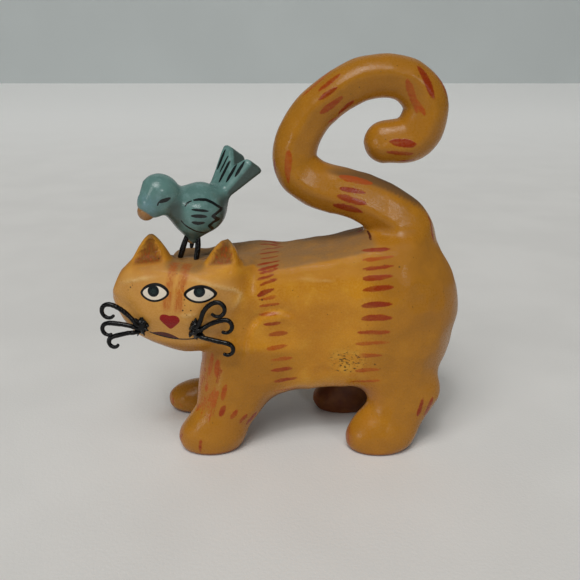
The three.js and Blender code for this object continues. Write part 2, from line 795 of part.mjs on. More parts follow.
// Blind holes: the tool starts a gap beyond the wire's end and leaves through the surface.
function blindHole(end, way, diameter) {
  const from = end.clone().addScaledVector(way, FIT_GAP);
  const to = end.clone().addScaledVector(way, -9);
  return solidOfGeometry(rodAlong(from, to, diameter / 2 + FIT_GAP, 10));
}

const catHoles = ends.map((e) => blindHole(e.low, e.along.clone().negate(), LEG_WIRE));
const birdHoles = ends.map((e) => blindHole(e.high, e.along, LEG_WIRE));
birdHoles.push(blindHole(PEG_TOP, PEG_WAY, PEG_WIRE));

// How far each carving can reach: the low and the high corner of a box with room to spare.
const CURL_TOP = Math.max(...TAIL_CURL.map(([, z, r]) => z + r));
const CAT_REACH = [
  [HEAD_AT[0] - 26.7, -HALF_WIDTH - 7, -1.6],
  [HALF_WIDTH + 47, HALF_WIDTH + 7, CURL_TOP * 1.05],
];
const BIRD_REACH = [
  [BIRD_AT[0] - 25, BIRD_AT[1] - 19, BIRD_AT[2] - 14.5],
  [BIRD_AT[0] + 25, BIRD_AT[1] + 19, BIRD_AT[2] + 24],
];

// The figurine.

const PAINT = {
  cat: { color: 0xc98a35, roughness: 0.38 },
  bird: { color: 0x5f8f8c, roughness: 0.33 },
  wire: { color: 0x101013, roughness: 0.4, metalness: 0.3 },
};

const figurine = new THREE.Group();

function add(name, geometry, paint) {
  const mesh = new THREE.Mesh(geometry, new THREE.MeshStandardMaterial({ ...paint }));
  mesh.name = name;
  figurine.add(mesh);
  return mesh;
}

const pockets = CHEEKS.map(pocket);
add('cat_body', carve(cat, ...CAT_REACH, CAT_CELL, CAT_FACES, [...pockets, ...catHoles]), PAINT.cat);
add('bird_body', carve(bird, ...BIRD_REACH, BIRD_CELL, BIRD_FACES, birdHoles), PAINT.bird);

BIRD_LEGS.forEach((leg, i) => {
  add(`bird_leg_${leg.name}`, wire([ends[i].low, ends[i].high], LEG_WIRE, 4), PAINT.wire);
});
add('bird_peg', wire([PEG_LOW, PEG_TOP], PEG_WIRE, 2), PAINT.wire);

for (const cheek of CHEEKS) {
  WHISKERS[cheek.side].forEach((whisker, row) => {
    const path = whiskerPath(cheek, whisker, row);
    add(`whisker_${cheek.side}_${whisker.name}`, wire(path, WHISKER_WIRE, 22), PAINT.wire);
  });
}

// Stand the figurine over the middle of its box.
const box = new THREE.Box3().setFromObject(figurine);
const middle = box.getCenter(new THREE.Vector3());
figurine.children.forEach((mesh) => mesh.geometry.translate(-middle.x, -middle.y, -box.min.z));

export default figurine;
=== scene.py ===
"""Looks of a carved and painted cat figurine with a small bird standing between its ears.

Sizes inside the carving functions are millimetres in the drawing of the figure, whose soles
stand on z = 0, with the head toward -X and the face toward -Y. The scene is in metres.
"""
import json
import math

import bpy
import numpy as np
from bpy.props import FloatProperty, FloatVectorProperty, PointerProperty
from mathutils import Matrix, Vector

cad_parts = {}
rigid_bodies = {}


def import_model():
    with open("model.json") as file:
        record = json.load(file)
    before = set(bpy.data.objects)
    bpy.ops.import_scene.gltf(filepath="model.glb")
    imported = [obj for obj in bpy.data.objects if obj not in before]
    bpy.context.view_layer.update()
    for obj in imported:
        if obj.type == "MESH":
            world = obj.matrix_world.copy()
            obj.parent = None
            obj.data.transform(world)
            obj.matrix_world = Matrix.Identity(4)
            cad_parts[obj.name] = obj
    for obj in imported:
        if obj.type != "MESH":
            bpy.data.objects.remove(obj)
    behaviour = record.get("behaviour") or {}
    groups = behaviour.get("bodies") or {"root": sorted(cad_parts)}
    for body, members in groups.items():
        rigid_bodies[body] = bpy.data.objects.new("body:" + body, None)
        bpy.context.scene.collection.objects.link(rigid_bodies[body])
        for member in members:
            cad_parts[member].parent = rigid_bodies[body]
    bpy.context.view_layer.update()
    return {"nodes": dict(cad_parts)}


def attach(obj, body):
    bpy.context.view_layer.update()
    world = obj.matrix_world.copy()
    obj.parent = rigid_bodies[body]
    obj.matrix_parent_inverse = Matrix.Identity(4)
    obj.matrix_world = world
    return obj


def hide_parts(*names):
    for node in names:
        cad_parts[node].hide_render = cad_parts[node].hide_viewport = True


bl_info = {
    "name": "Carved Cat Figurine",
    "version": (1, 0, 0),
    "blender": (4, 5, 0),
    "location": "View3D > Sidebar > Carved Cat",
    "description": "Builds the carved and painted looks of a cat figurine with a bird on its head",
    "category": "Object",
}

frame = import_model()

MM = 0.001
# Where the drawing's origin lies in the scene, in millimetres.
PLACE = np.array([1.4125, 3.1017, 0.0])


# Soft solids. Each takes an array of points and is negative inside the shape.

def join(a, b, k):
    h = np.maximum(k - np.abs(a - b), 0.0) / k
    return np.minimum(a, b) - h * h * k * 0.25


def cut(a, b, k):
    return -join(-a, -b, k)


def size(p):
    return np.sqrt((p * p).sum(-1))


def egg(p, centre, radii):
    q = (p - np.array(centre)) / np.array(radii)
    k0 = size(q) + 1e-9
    return k0 * (k0 - 1.0) / (size(q / np.array(radii)) + 1e-9)


def limb(p, a, b, ra, rb, flat=1.0):
    """A limb between two balls; flat squeezes it across Y."""
    s = np.array([1.0, 1.0 / flat, 1.0])
    a, b = np.array(a) * s, np.array(b) * s
    q, ab = p * s - a, b - a
    t = np.clip(q @ ab / (ab @ ab), 0.0, 1.0)
    return (size(q - t[:, None] * ab) - (ra + (rb - ra) * t)) * min(flat, 1.0)


def frame_axes(turn, tilt):
    """Across, toward the viewer and up, for a head turned about Z and tilted about Y."""
    m = Matrix.Rotation(turn, 3, "Z") @ Matrix.Rotation(tilt, 3, "Y")
    axes = np.array(m)
    return np.stack([axes[:, 0], -axes[:, 1], axes[:, 2]], 1)


# The tail: a carved rod along a curl, as x, z and half thickness from rump to tip.
TAIL_CURL = [(42, 68, 11.0), (41.6, 77, 10.3), (37.6, 84.6, 9.5), (25.3, 91.6, 8.8),
             (7.6, 97.2, 8.5), (1.5, 106.5, 8.0), (7.8, 120.6, 7.7), (22.6, 131.2, 7.4),
             (37.6, 131.8, 7.6), (45.6, 123.4, 8.0), (42.2, 112.9, 8.4), (32.5, 110.9, 7.5)]
TAIL_STEPS = 110
# The rod's four faces lean by these angles, outside and inside the curl.
OUTER_SLOPE, INNER_SLOPE = math.radians(33), math.radians(20)


def curl_line(knots, steps):
    k = np.array(knots, float)
    k = np.vstack([2 * k[0] - k[1], k, 2 * k[-1] - k[-2]])
    line = []
    for i in range(steps + 1):
        u = i / steps * (len(knots) - 1)
        j = min(int(u), len(knots) - 2)
        t = u - j
        p0, p1, p2, p3 = k[j:j + 4]
        line.append(0.5 * (2 * p1 + (p2 - p0) * t + (2 * p0 - 5 * p1 + 4 * p2 - p3) * t ** 2
                           + (3 * p1 - p0 - 3 * p2 + p3) * t ** 3))
    return np.array(line)


TAIL_LINE = curl_line(TAIL_CURL, TAIL_STEPS)


def tail(p):
    start, step = TAIL_LINE[:-1], np.diff(TAIL_LINE, axis=0)
    long2 = (step[:, :2] ** 2).sum(1)
    x, z = p[:, 0][:, None], p[:, 2][:, None]
    t = np.clip(((x - start[:, 0]) * step[:, 0] + (z - start[:, 1]) * step[:, 1]) / long2, 0, 1)
    dx = x - start[:, 0] - t * step[:, 0]
    dz = z - start[:, 1] - t * step[:, 1]
    radius = start[:, 2] + t * step[:, 2]
    dist = np.sqrt(dx * dx + dz * dz)
    near = (dist - radius).argmin(1)
    row = np.arange(len(p))
    side = dz[row, near] * step[near, 0] - dx[row, near] * step[near, 1]
    dist, radius = dist[row, near], radius[row, near]
    out = np.where(side > 0, dist, -dist)
    ay, half, ridge = np.abs(p[:, 1]), 0.98 * radius, 0.22 * radius
    edges = cut(out - radius, -out - radius, 1.0)
    outer = (out - ridge) * math.sin(OUTER_SLOPE) + (ay - half) * math.cos(OUTER_SLOPE)
    inner = -(out - ridge) * math.sin(INNER_SLOPE) + (ay - half) * math.cos(INNER_SLOPE)
    rod = np.sqrt(dist ** 2 + ay ** 2) - radius * 1.04
    return cut(cut(edges, cut(outer, inner, 1.2), 5.0), rod - 0.4, 2.0)


def trunk(p):
    x, y, z = p.T
    back = cut(70 + 0 * x, 72.9 + 0.19 * x, 3.0)
    high = z - 50 - 0.8 * (back - 70)
    side = np.abs(y) + 0.0035 * np.minimum(high, 0) ** 2 - 19.0
    flank = cut(side, (np.abs(y) - 19.0) * 0.906 + (high - 10.5) * 0.423, 3.2)
    chest = (-29.8 - x) * 0.98 + (z - 40) * 0.19
    barrel = cut(cut(20.9 + 0.05 * x - z, flank, 11.0), cut(chest, x - 46, 3.0), 12.0)
    return cut(barrel, (z - back + 0.004 * y * y) * 0.98, 4.2)


def neck(p):
    x, y, z = p.T
    end = (-45.5 - x) * 0.94 - (z - 70) * 0.34
    slab = cut(cut(z - 70.1, 46 - z, 6.0), np.abs(y - 1.5) - 13.5, 7.0)
    return cut(slab, cut(end, x + 8, 3.0), 7.0)


# Each leg: shoulder or hip, ankle, their radii, how flat it is, the foot's centre and radii.
LEGS = [
    ((-14.5, -9, 34), (-25.0, -13.8, 12), 14.5, 9.8, 0.80, (-29.6, -14.6, 4.8),
     (11.6, 8.2, 9.4), 5.0),
    ((42.6, -9, 36), (37.6, -13.4, 10), 11.6, 8.6, 0.80, (32.2, -14.8, 4.8),
     (11.2, 8.3, 10.0), 6.0),
    ((-20, 9, 34), (-27, 13.6, 11), 13.0, 8.0, 0.85, (-38.2, 14.6, 4.8),
     (11.5, 7.4, 7.2), 5.0),
    ((38, 9, 34), (27, 13.6, 12), 13.0, 9.4, 0.82, (20.8, 15.0, 4.8),
     (11.1, 7.4, 8.6), 6.0),
]


def legs(p):
    rows = [join(limb(p, top, ankle, ra, rb, flat), egg(p, foot, radii), soft)
            for top, ankle, ra, rb, flat, foot, radii, soft in LEGS]
    hock = limb(p, (47.4, -12, 22.6), (39.8, -13.6, 7), 7.6, 5.2, 0.9)
    return join(np.min(rows, axis=0), hock, 4.0)


HEAD_AT = np.array([-39.3, -12.0, 56.5])
HEAD_TURN, HEAD_TILT = math.radians(-6), math.radians(4.5)
HEAD_AXES = frame_axes(HEAD_TURN, HEAD_TILT)


def in_head(p):
    """Across, toward the viewer and up, in millimetres from the middle of the head."""
    return (p - HEAD_AT) @ HEAD_AXES


def from_head(q):
    return HEAD_AT + np.array(q, float) @ HEAD_AXES.T


def cheeks(u, v):
    return (v - 11.5) * 0.86 + (np.abs(u + 0.3) - 12.5) * 0.46


def jaw(u, w, half):
    au = np.abs(u + 0.3)
    return cut(au - half, au * 0.71 - w * 0.705 - 17.5, 5.0)


def skull(u, v, w):
    outline = cut(jaw(u, w, 23.8), np.hypot(u - 2.8, 3.5) * 0.285 - w * 0.958 - 17.3, 3.0)
    outline = cut(outline, -u * 0.726 + w * 0.688 - 21.8, 7.0)
    forehead = (v - 11.6) * 0.84 + (w - 11) * 0.54
    face = (v - 13) * 0.985 + (w - 0.5) * 0.10
    muzzle = (v - 13) * 0.93 - (w - 0.5) * 0.36
    front = cut(cut(cut(forehead, face, 1.6), muzzle, 1.6), cheeks(u, v), 3.0)
    return cut(cut(cut(outline, front, 5.5), w - 16.2 - 0.02 * u, 2.4), -v - 9, 9.0)


# Each ear: left and right edge planes (normal in u and w, offset), height, and the sill of
# its hollow (height in the middle of the head and slope).
EARS = [((-0.894, 0.45, 21.0), (0.876, 0.482, 6.1), 27.2, (17.4, 0.18)),
        ((-0.889, 0.458, -0.4), (0.971, 0.238, 25.0), 28.9, (15.2, 0.16))]


def ear_hollow(q, left, right, sill):
    """The three-cornered recess in the front of an ear, seen from the front."""
    u, _, w = q.T
    sides = cut(u * left[0] + w * left[1] - left[2] + 1.0,
                u * right[0] + w * right[1] - right[2] + 0.95, 1.2)
    return cut(sides, sill[0] + sill[1] * u - w, 1.2)


def ear(q, left, right, high, sill):
    u, v, w = q.T
    edges = cut(u * left[0] + w * left[1] - left[2], u * right[0] + w * right[1] - right[2], 2.2)
    front = (v - 7.6) * 0.97 + (w - 16) * 0.24
    back = -(v + 1) * 0.93 + (w - 16) * 0.36
    d = cut(edges, cut(front, back, 2.5), 3.0)
    d = cut(cut(d, w - high, 2.0), 3 - w, 2.0)
    d = cut(cut(d, jaw(u, w, 23.6), 2.5), cheeks(u, v), 2.5)
    deep = 0.3 + 1.6 * np.clip((w - sill[0] - sill[1] * u) / 3.0, 0, 1)
    floor = -deep - (v - 7.6) * 0.97 - (w - 16) * 0.24
    recess = cut(cut(ear_hollow(q, left, right, sill), w - high + 2.9, 1.5), floor, 0.8)
    return cut(d, -recess, 0.7)


def head(p):
    q = in_head(p)
    ears = np.min([ear(q, *e) for e in EARS], axis=0)
    return join(skull(*q.T), ears, 1.8)


def only(p, mask, shape, far):
    """A shape worked out only where it can matter."""
    d = np.full(len(p), far)
    if mask.any():
        d[mask] = shape(p[mask])
    return d


def cat(p):
    q = in_head(p)
    d = join(trunk(p), egg(p, (37, 0, 51.2), (24.6, 20.6, 28.6)), 7.0)
    d = join(d, neck(p), 8.0)
    d = join(d, legs(p), 7.0)
    d = join(d, only(p, (p[:, 2] > 52) & (p[:, 0] > -22), tail, 30.0), 3.5)
    near = (np.abs(q[:, 0]) < 42) & (np.abs(q[:, 1]) < 34) & (q[:, 2] > -34)
    d = join(d, only(p, near, head, 15.0), 5.0)
    return cut(d, -p[:, 2], 1.4)


BIRD_AT = np.array([-30.9, -8.0, 89.7])
BIRD_TURN = math.radians(30)
BIRD_AXES = np.array([[-math.cos(BIRD_TURN), -math.sin(BIRD_TURN), 0],
                      [math.sin(BIRD_TURN), -math.cos(BIRD_TURN), 0], [0, 0, 1.0]]).T


def in_bird(p):
    """Forward, toward its near side and up, in millimetres from the middle of the bird."""
    return (p - BIRD_AT) @ BIRD_AXES


def tail_place(q):
    """Out along the bird's tail, across it, and off its top face."""
    a, b, c = q.T
    return -0.588 * a + 0.809 * c, b, 0.809 * a + 0.588 * c + 0.27 * b + 0.6


def bird(p):
    q = in_bird(p)
    d = egg(q, (0, 0, 0), (9.6, 7.9, 8.9))
    d = join(d, limb(q, (4, 0, 0), (11, 0, 4.6), 6.9, 5.0), 2.5)
    crown = limb(q, (14.1, 0, 6.9), (16.7, 0, 3.7), 6.3, 4.9)
    d = join(d, np.minimum(crown, limb(q, (16.7, 0, 3.7), (18.9, 0, 1.1), 4.9, 3.0)), 2.6)
    d = join(d, limb(q, (2.6, 0, -5), (3.3, 0, -10.2), 5.0, 1.9), 3.0)
    t, b, n = tail_place(q)
    under = -(n + 5.6) * 0.975 - (t - 9) * 0.225
    edge = (np.abs(b + 1.1) - 4.4 - (t - 9) * 0.27) * 0.97
    fork = cut(t - 23.4 + 0.14 * b, (t - 18.4) * 0.8 - np.abs(b) * 0.9, 0.8)
    slab = cut(cut(n + 1.4, under, 1.2), edge, 2.2)
    return join(d, cut(slab, cut(fork, 3 - t, 1.0), 1.8), 3.0)


# Working with points on a carved surface.

def smooth(x, low, high):
    """0 below low, 1 above high, and smooth between them; high may be the lower one."""
    t = np.clip((x - low) / (high - low), 0, 1)
    return t * t * (3 - 2 * t)


def slope(shape, p, e=0.08):
    """The outward direction of a shape at each point, from four samples round it."""
    corners = np.array([[1, -1, -1], [-1, -1, 1], [-1, 1, -1], [1, 1, 1.0]])
    g = sum(c * shape(p + e * c)[:, None] for c in corners)
    return g / (size(g)[:, None] + 1e-12)


def settle(shape, p, rounds=2, limit=0.8):
    """Move points onto the shape's surface."""
    for _ in range(rounds):
        p = p - slope(shape, p) * np.clip(shape(p), -limit, limit)[:, None]
    return p


def lump_noise(p, cell, seed):
    """Smooth noise between -1 and 1 whose lumps are about one cell wide."""
    q = p / cell + seed * 17.31
    i = np.floor(q).astype(np.int64)
    f = q - i
    f = f * f * (3 - 2 * f)

    def corner(dx, dy, dz):
        h = (i[:, 0] + dx) * 73856093 ^ (i[:, 1] + dy) * 19349663 ^ (i[:, 2] + dz) * 83492791
        h = (h ^ (h >> 13)) * 1274126177 & 0x7FFFFFFF
        return h / 0x3FFFFFFF - 1.0

    total = 0
    for dx in (0, 1):
        for dy in (0, 1):
            for dz in (0, 1):
                w = (f[:, 0] if dx else 1 - f[:, 0]) * (f[:, 1] if dy else 1 - f[:, 1])
                total = total + corner(dx, dy, dz) * w * (f[:, 2] if dz else 1 - f[:, 2])
    return total


def facets(p, cell, seed):
    """Squared distance to the nearest of a set of scattered points, one to a cell.

    Added to a rounded surface it flattens it into facets, as a knife does.
    """
    q = p / cell + seed * 3.7
    i = np.floor(q).astype(np.int64)
    best = np.full(len(p), 9.0)
    for step in np.ndindex(3, 3, 3):
        j = i + np.array(step) - 1
        h = j[:, 0] * 73856093 ^ j[:, 1] * 19349663 ^ j[:, 2] * 83492791
        spot = []
        for _ in range(3):
            h = (h ^ (h >> 13)) * 1274126177 & 0x7FFFFFFF
            spot.append(h / 0x7FFFFFFF)
        best = np.minimum(best, ((j + np.stack(spot, 1) - q) ** 2).sum(1))
    return best * cell ** 2


def distance_to_line(p, line):
    """Distance to a line of points, and how far along it the nearest place is, from 0 to 1."""
    best = np.full(len(p), 1e9)
    along = np.zeros(len(p))
    for i in range(len(line) - 1):
        ab = line[i + 1] - line[i]
        t = np.clip((p - line[i]) @ ab / (ab @ ab), 0, 1)
        d = size(p - line[i] - t[:, None] * ab)
        near = d < best
        best[near] = d[near]
        along[near] = (i + t[near]) / (len(line) - 1)
    return best, along


def shoulder(p):
    """The near shoulder stands out from the neck along a carved crease."""
    x, y, z = p.T
    d = (np.hypot((x + 4) / 11, (z - 43) / 12.5) - 1) * 11.5
    where = smooth(y, -11, -14) * smooth(z, 34, 41) * smooth(x, 5, -4)
    inside = 1 / (1 + np.exp(np.clip(d / 0.45, -30, 30)))
    rim = 0.6 * np.exp(-(d / 3.6) ** 2) * inside
    crease = 1.0 * np.exp(-(d / 2.0) ** 2) * (1 - inside)
    return (rim - crease) * where


# Low ridges left by the knife on the face, in u and w.
RIDGES = [[(3.7, 12.9), (7.6, 13.1), (12.0, 12.2), (16.7, 11.1), (20.6, 10.2), (22.7, 8.6),
           (22.0, 5.4), (20.6, 3.0)],
          [(-17.5, 8.9), (-14.4, 10.3), (-9.7, 11.8), (-5.0, 12.6)],
          [(3.9, 0.6), (6.2, 1.0), (9.0, 1.5)]]


# The edge between the chest and the side of the near foreleg, and one high on the flank.
BODY_RIDGES = [([(-24.0, -19.7, 36.1), (-24.4, -19.9, 32.2), (-25.1, -20.1, 28.4),
                 (-26.3, -20.1, 24.0), (-28.1, -19.9, 19.4)], 0.75),
               ([(2.4, -16.7, 67.1), (8.8, -17.2, 66.9), (15.3, -17.5, 66.6)], 0.35)]


def ridge_lines(q):
    flat = q * (1, 0, 1)
    height = np.zeros(len(q))
    for line in RIDGES:
        d, t = distance_to_line(flat, np.array([(u, 0, w) for u, w in line]))
        ends = np.clip(4 * (t + 0.04) * (1.04 - t), 0, 1)
        height = np.maximum(height, np.exp(-(d / 0.6) ** 2) * ends)
    return height * smooth(q[:, 1], 3.0, 6.0)


# Painted strokes. Each row: the start and the end in x, y, z, the half width, and the tone
# from orange at 0 to red at 1.
FLANK_BANDS = [
    (-11.5, 4.9, 72.6, -4.2, 6.2, 72.5, 0.55, 0.9), (-10.7, -2.0, 72.7, -3.6, 2.0, 72.5, 0.45, 1),
    (-10.6, -6.4, 72.6, -3.6, -3.0, 72.5, 0.45, 0.9),
    (-10.4, -10.5, 72.3, -3.7, -7.3, 72.4, 0.5, 1),
    (-11.2, -13.7, 70.8, -3.5, -11.4, 71.5, 0.5, 0.9),
    (-11.0, -15.0, 69.4, -3.9, -13.2, 70.6, 0.55, 1),
    (-10.7, -15.6, 68.5, -4.3, -14.3, 69.7, 0.45, 0.8),
    (-11.6, -16.5, 66.8, -5.5, -15.7, 68.2, 0.5, 0.8),
    (-10.7, -17.2, 64.7, -4.3, -16.4, 67.0, 0.55, 0.9),
    (-11.0, -18.0, 61.4, -5.5, -17.5, 63.8, 0.8, 1),
    (-10.7, -18.2, 60.2, -4.8, -18.1, 61.4, 0.5, 0.4),
    (-10.3, -18.6, 57.9, -3.8, -18.5, 58.7, 0.6, 0.4),
    (-10.7, -18.9, 54.7, -3.9, -18.9, 55.4, 0.65, 0.4),
    (-9.1, -19.1, 51.4, -3.1, -19.0, 52.0, 0.6, 0.5),
    (-7.8, -19.3, 47.4, -1.0, -18.9, 48.0, 0.75, 0.7),
    (-8.4, -20.1, 42.4, -0.9, -18.9, 43.4, 0.75, 0.5),
    (-7.0, -20.3, 38.1, 0.7, -18.6, 38.5, 0.7, 0.3),
    (-6.7, -20.2, 34.0, 0.7, -18.4, 34.4, 0.75, 0.5),
    (-5.8, -19.3, 29.5, 2.2, -17.4, 30.0, 0.75, 0.6),
    (-5.8, -17.7, 24.7, 3.2, -13.6, 23.9, 0.55, 0.3),
    (24.6, -13.1, 75.4, 34.0, -14.2, 76.6, 0.8, 0.8),
    (24.8, -15.3, 73.2, 34.9, -15.9, 74.7, 0.65, 0.3),
    (24.8, -16.8, 70.5, 34.8, -17.4, 72.0, 0.75, 0.5),
    (25.1, -17.9, 67.7, 34.8, -18.6, 69.0, 0.8, 0.5),
    (24.8, -19.0, 63.9, 34.8, -19.8, 65.3, 1.1, 0.7),
    (24.6, -19.9, 58.4, 34.6, -21.0, 59.6, 1.1, 0.8),
    (24.7, -20.2, 53.8, 35.1, -21.5, 54.7, 1, 0.9),
    (23.5, -20.0, 48.8, 34.3, -21.5, 49.7, 0.85, 0.5),
    (23.0, -19.5, 44.3, 34.2, -21.2, 45.4, 0.7, 0.3),
    (23.6, -18.9, 39.2, 32.2, -20.3, 40.0, 0.75, 0.5),
    (23.2, -17.5, 32.8, 32.2, -19.1, 33.8, 0.8, 0.6),
    (21.8, -15.2, 27.2, 32.2, -18.3, 29.4, 0.6, 0.4),
]
# Strokes with the two ends alone: their width and tone are set where they are laid.
LEG_STROKES = [
    (46.2, -18.8, 15.4, 47.8, -19.0, 23.0), (49.2, -17.0, 14.6, 50.6, -16.6, 22.4),
    (50.6, -13.2, 14.4, 52.4, -12.4, 22.2),
    (-25.2, -21.2, 16.4, -23.3, -21.0, 20.4), (-21.3, -21.2, 15.2, -19.0, -20.9, 18.7),
    (-18.2, -19.9, 12.8, -15.9, -19.6, 16.3), (-16.1, -18.0, 11.2, -12.4, -17.0, 16.1),
]
TOE_STROKES = [
    (-40.6, -15.6, 2.4, -39.6, -18.2, 7.2), (-32.9, -22.1, 2.0, -32.3, -22.5, 7.3),
    (-47.7, 10.9, 6.6, -47.1, 10.0, 3.8), (-44.6, 8.5, 5.4, -43.0, 8.0, 3.4),
    (23.6, -16.0, 8.6, 24.6, -17.0, 2.6),
]
CHEST_STROKES = [
    (-29.0, -17.7, 31.1, -27.2, -17.6, 40.1), (-30.5, -17.6, 24.6, -29.8, -17.6, 27.9),
    (-28.1, -20.0, 19.0, -25.7, -20.1, 26.0), (-26.3, -19.3, 31.5, -25.4, -18.9, 37.6),
    (-24.3, -20.7, 22.7, -22.7, -20.7, 28.7),
]
TAIL_STROKES = [
    (17.0, -5.3, 100.0, 28.1, -4.9, 97.6, 1.25, 0.5),
    (17.0, -7.0, 96.3, 25.9, -6.8, 94.7, 0.7, 0.8),
    (16.3, -7.9, 93.9, 25.9, -7.9, 91.3, 1.15, 0.7),
    (15.1, -7.1, 90.6, 24.7, -7.6, 88.1, 1.15, 0.9),
    (47.8, -2.8, 86.4, 50.6, -5.4, 77.3, 0.45, 1.2),
    (-0.5, -6.0, 98.3, -0.5, -7.2, 109.0, 1.05, 0.4),
    (-5.0, -1.5, 100.4, -5.3, -2.9, 105.6, 0.8, 1.1),
    (3.6, -3.0, 127.2, 13.5, -0.8, 134.3, 0.8, 0.25),
    (9.3, -5.0, 128.2, 16.2, -4.9, 133.3, 0.9, 0.6),
    (9.5, -6.8, 125.6, 15.2, -6.8, 129.3, 0.95, 0.8),
    (10.2, -6.4, 121.4, 17.1, -6.1, 126.4, 1.0, 0.8),
    (16.0, -3.8, 120.5, 20.8, -4.4, 124.9, 0.85, 0.9),
    (12.7, -4.3, 117.9, 16.7, -2.5, 120.0, 0.7, 0.3),
    (37.8, -6.8, 131.7, 41.8, -5.8, 121.5, 1.2, 0.2),
    (41.6, -4.7, 135.6, 47.0, -7.3, 125.4, 1.1, 0.9),
    (47.0, 0.0, 133.6, 51.8, -2.8, 126.3, 1.0, 0.5),
    (40.6, -5.8, 125.6, 44.3, -6.8, 120.8, 0.85, 0.5),
    (33.3, -6.4, 112.1, 41.5, -7.7, 111.2, 1.25, 0.7),
    (32.1, -6.7, 108.5, 41.0, -6.6, 108.0, 0.75, 0.6),
    (37.1, -3.7, 105.0, 42.5, -3.7, 105.6, 0.6, 0.8),
]
# Dark knife marks: on top of the head, and where the back meets the tail.
DARK_MARKS = [
    ([(-42.8, -9.0, 74), (-41.0, -12.2, 73), (-37.6, -13.0, 72.8), (-35.4, -12.0, 72.8)], 0.22),
    ([(-32.8, -12.6, 72.6), (-30.0, -12.8, 72.7), (-27.9, -10.6, 73), (-27.4, -7.0, 73)], 0.22),
    ([(-38.6, -6.4, 74), (-35.4, -5.0, 74), (-31.4, -6.2, 74)], 0.2),
    ([(27.5, -3.2, 80.3), (28.0, -6.1, 79.3), (28.0, -9.5, 78.5)], 0.42),
]


def painted_strokes():
    """The strokes on the cat, near side and far side, as lines settled onto its surface."""
    chance = np.random.default_rng(24)
    rows = []

    def lay(a, b, width, tone):
        bend = chance.uniform(-0.35, 0.35)
        t = np.linspace(0, 1, 7)[:, None]
        line = a + (b - a) * t + np.array([0, 0, bend]) * 4 * t * (1 - t)
        rows.append((settle(cat, line, 6, 4.0), width, tone, 1.0, chance.uniform(-0.5, 0.7)))

    def add(ends, width, tone, both=True):
        a, b = np.array(ends[:3]), np.array(ends[3:6])
        width *= chance.uniform(0.85, 1.15)
        lay(a, b, width, tone + chance.uniform(-0.3, 0.3))
        if both:
            jog = chance.uniform(-1, 1, 3) * (1.2, 0, 0.7)
            flip = np.array([1, -1, 1])
            lay(a * flip + jog, b * flip + jog, width, tone + chance.uniform(-0.3, 0.3))

    for row in FLANK_BANDS:
        add(row[:6], *row[6:], both=abs(row[1]) > 5.5)
    for y in (10.5, 15.0):
        add((-11.0, y - 2, 72.6, -4.0, y, 72.4), 0.5, 0.8, both=False)
    for y in (1.5, 7.0):
        add((24.6, y, 77.0, 34.0, y + 0.4, 78.0), 0.9, 0.6, both=False)
    for ends in LEG_STROKES:
        add(ends, 0.85, 0.75, both=False)
    for ends in LEG_STROKES[3:]:
        far = np.array(ends) * (1, -1, 1, 1, -1, 1)
        add(far, 0.8, 0.6, both=False)
    for ends in CHEST_STROKES:
        add(ends, 0.85, 0.3, both=False)
    for _ in range(26):
        x, z = chance.uniform(-33, -23), chance.uniform(16, 42)
        y = -17.5 + chance.uniform(-3, 5)
        long = chance.uniform(5, 10)
        lean = np.array([-0.22 - 0.03 * (x + 27), 0, -1.0]) * long
        a = np.array([x, y, z])
        rows.append((settle(cat, a + lean * np.linspace(0, 1, 7)[:, None], 6, 4.0),
                     chance.uniform(0.12, 0.24), chance.uniform(0.1, 0.8), 1.0, 0.0))
    for row in TAIL_STROKES:
        add(row[:6], *row[6:])
    for ends in TOE_STROKES:
        add(ends, 0.42, 0.5, both=False)
    for line, width in DARK_MARKS:
        rows.append((settle(cat, np.array(line), 8, 4.0), width, 2.0, 0.6, 0.0))
    return rows


def lines_paint(p, rows, wobble):
    """Distance to the edge of the nearest painted line, in millimetres, and that line's tone.

    Each row: the line, its half width, its tone, how much it tapers and how far it leans its
    weight toward its start.
    """
    edge = np.full(len(p), 3.0)
    tone = np.full(len(p), 0.5)
    for line, width, shade, taper, lean in rows:
        reach = size(line - line.mean(0)).max() + width + 3.0
        index = np.flatnonzero(size(p - line.mean(0)) < reach)
        if not len(index):
            continue
        d, t = distance_to_line(p[index], line)
        lens = np.sqrt(np.clip(4 * (t + 0.03) * (1.03 - t), 0.0, 1.0))
        d = d - width * (1 - taper + taper * lens) * (1 + lean * (0.5 - t)) + wobble[index]
        closer = d < edge[index]
        edge[index[closer]] = d[closer]
        tone[index[closer]] = shade
    return edge, tone


# The bird's painted lines in its own frame: points, half width and taper.
WING = [
    ([(7.6, 6.1, 2.8), (6.8, 6.0, 3.7), (5.9, 6.1, 4.1), (5.3, 6.2, 4.3)], 0.26, 0.6),
    ([(4.4, 6.3, 4.5), (2.8, 6.6, 4.6), (0.5, 6.9, 4.3), (-1.5, 7.2, 3.3), (-3.4, 7.2, 1.9),
      (-5.3, 6.6, 0.6)], 0.5, 0.6),
    ([(-5.3, 6.6, 0.6), (-3.2, 7.4, -0.4), (-1.4, 7.7, -1.3), (-2.6, 7.2, -2.2),
      (-4.0, 6.7, -2.9), (-1.8, 7.1, -3.5), (-0.4, 6.8, -4.6), (-1.4, 6.0, -5.6),
      (-2.4, 5.0, -6.5)], 0.55, 0.1),
    ([(8.7, 4.8, -2.3), (8.0, 4.9, -3.4), (6.6, 5.4, -4.7), (4.6, 5.5, -6.0),
      (2.0, 5.1, -7.0), (-0.6, 4.1, -7.7), (-2.6, 3.6, -7.6)], 0.30, 0.6),
    ([(5.6, 7.0, 1.6), (3.1, 7.8, 1.2), (0.3, 7.9, 0.6)], 0.45, 0.9),
    ([(5.9, 7.0, -0.5), (3.6, 7.7, -0.7), (0.9, 7.9, -1.2)], 0.62, 1.0),
    ([(5.7, 6.7, -2.7), (3.8, 7.1, -3.3), (1.5, 7.4, -3.3)], 0.6, 1.0),
]
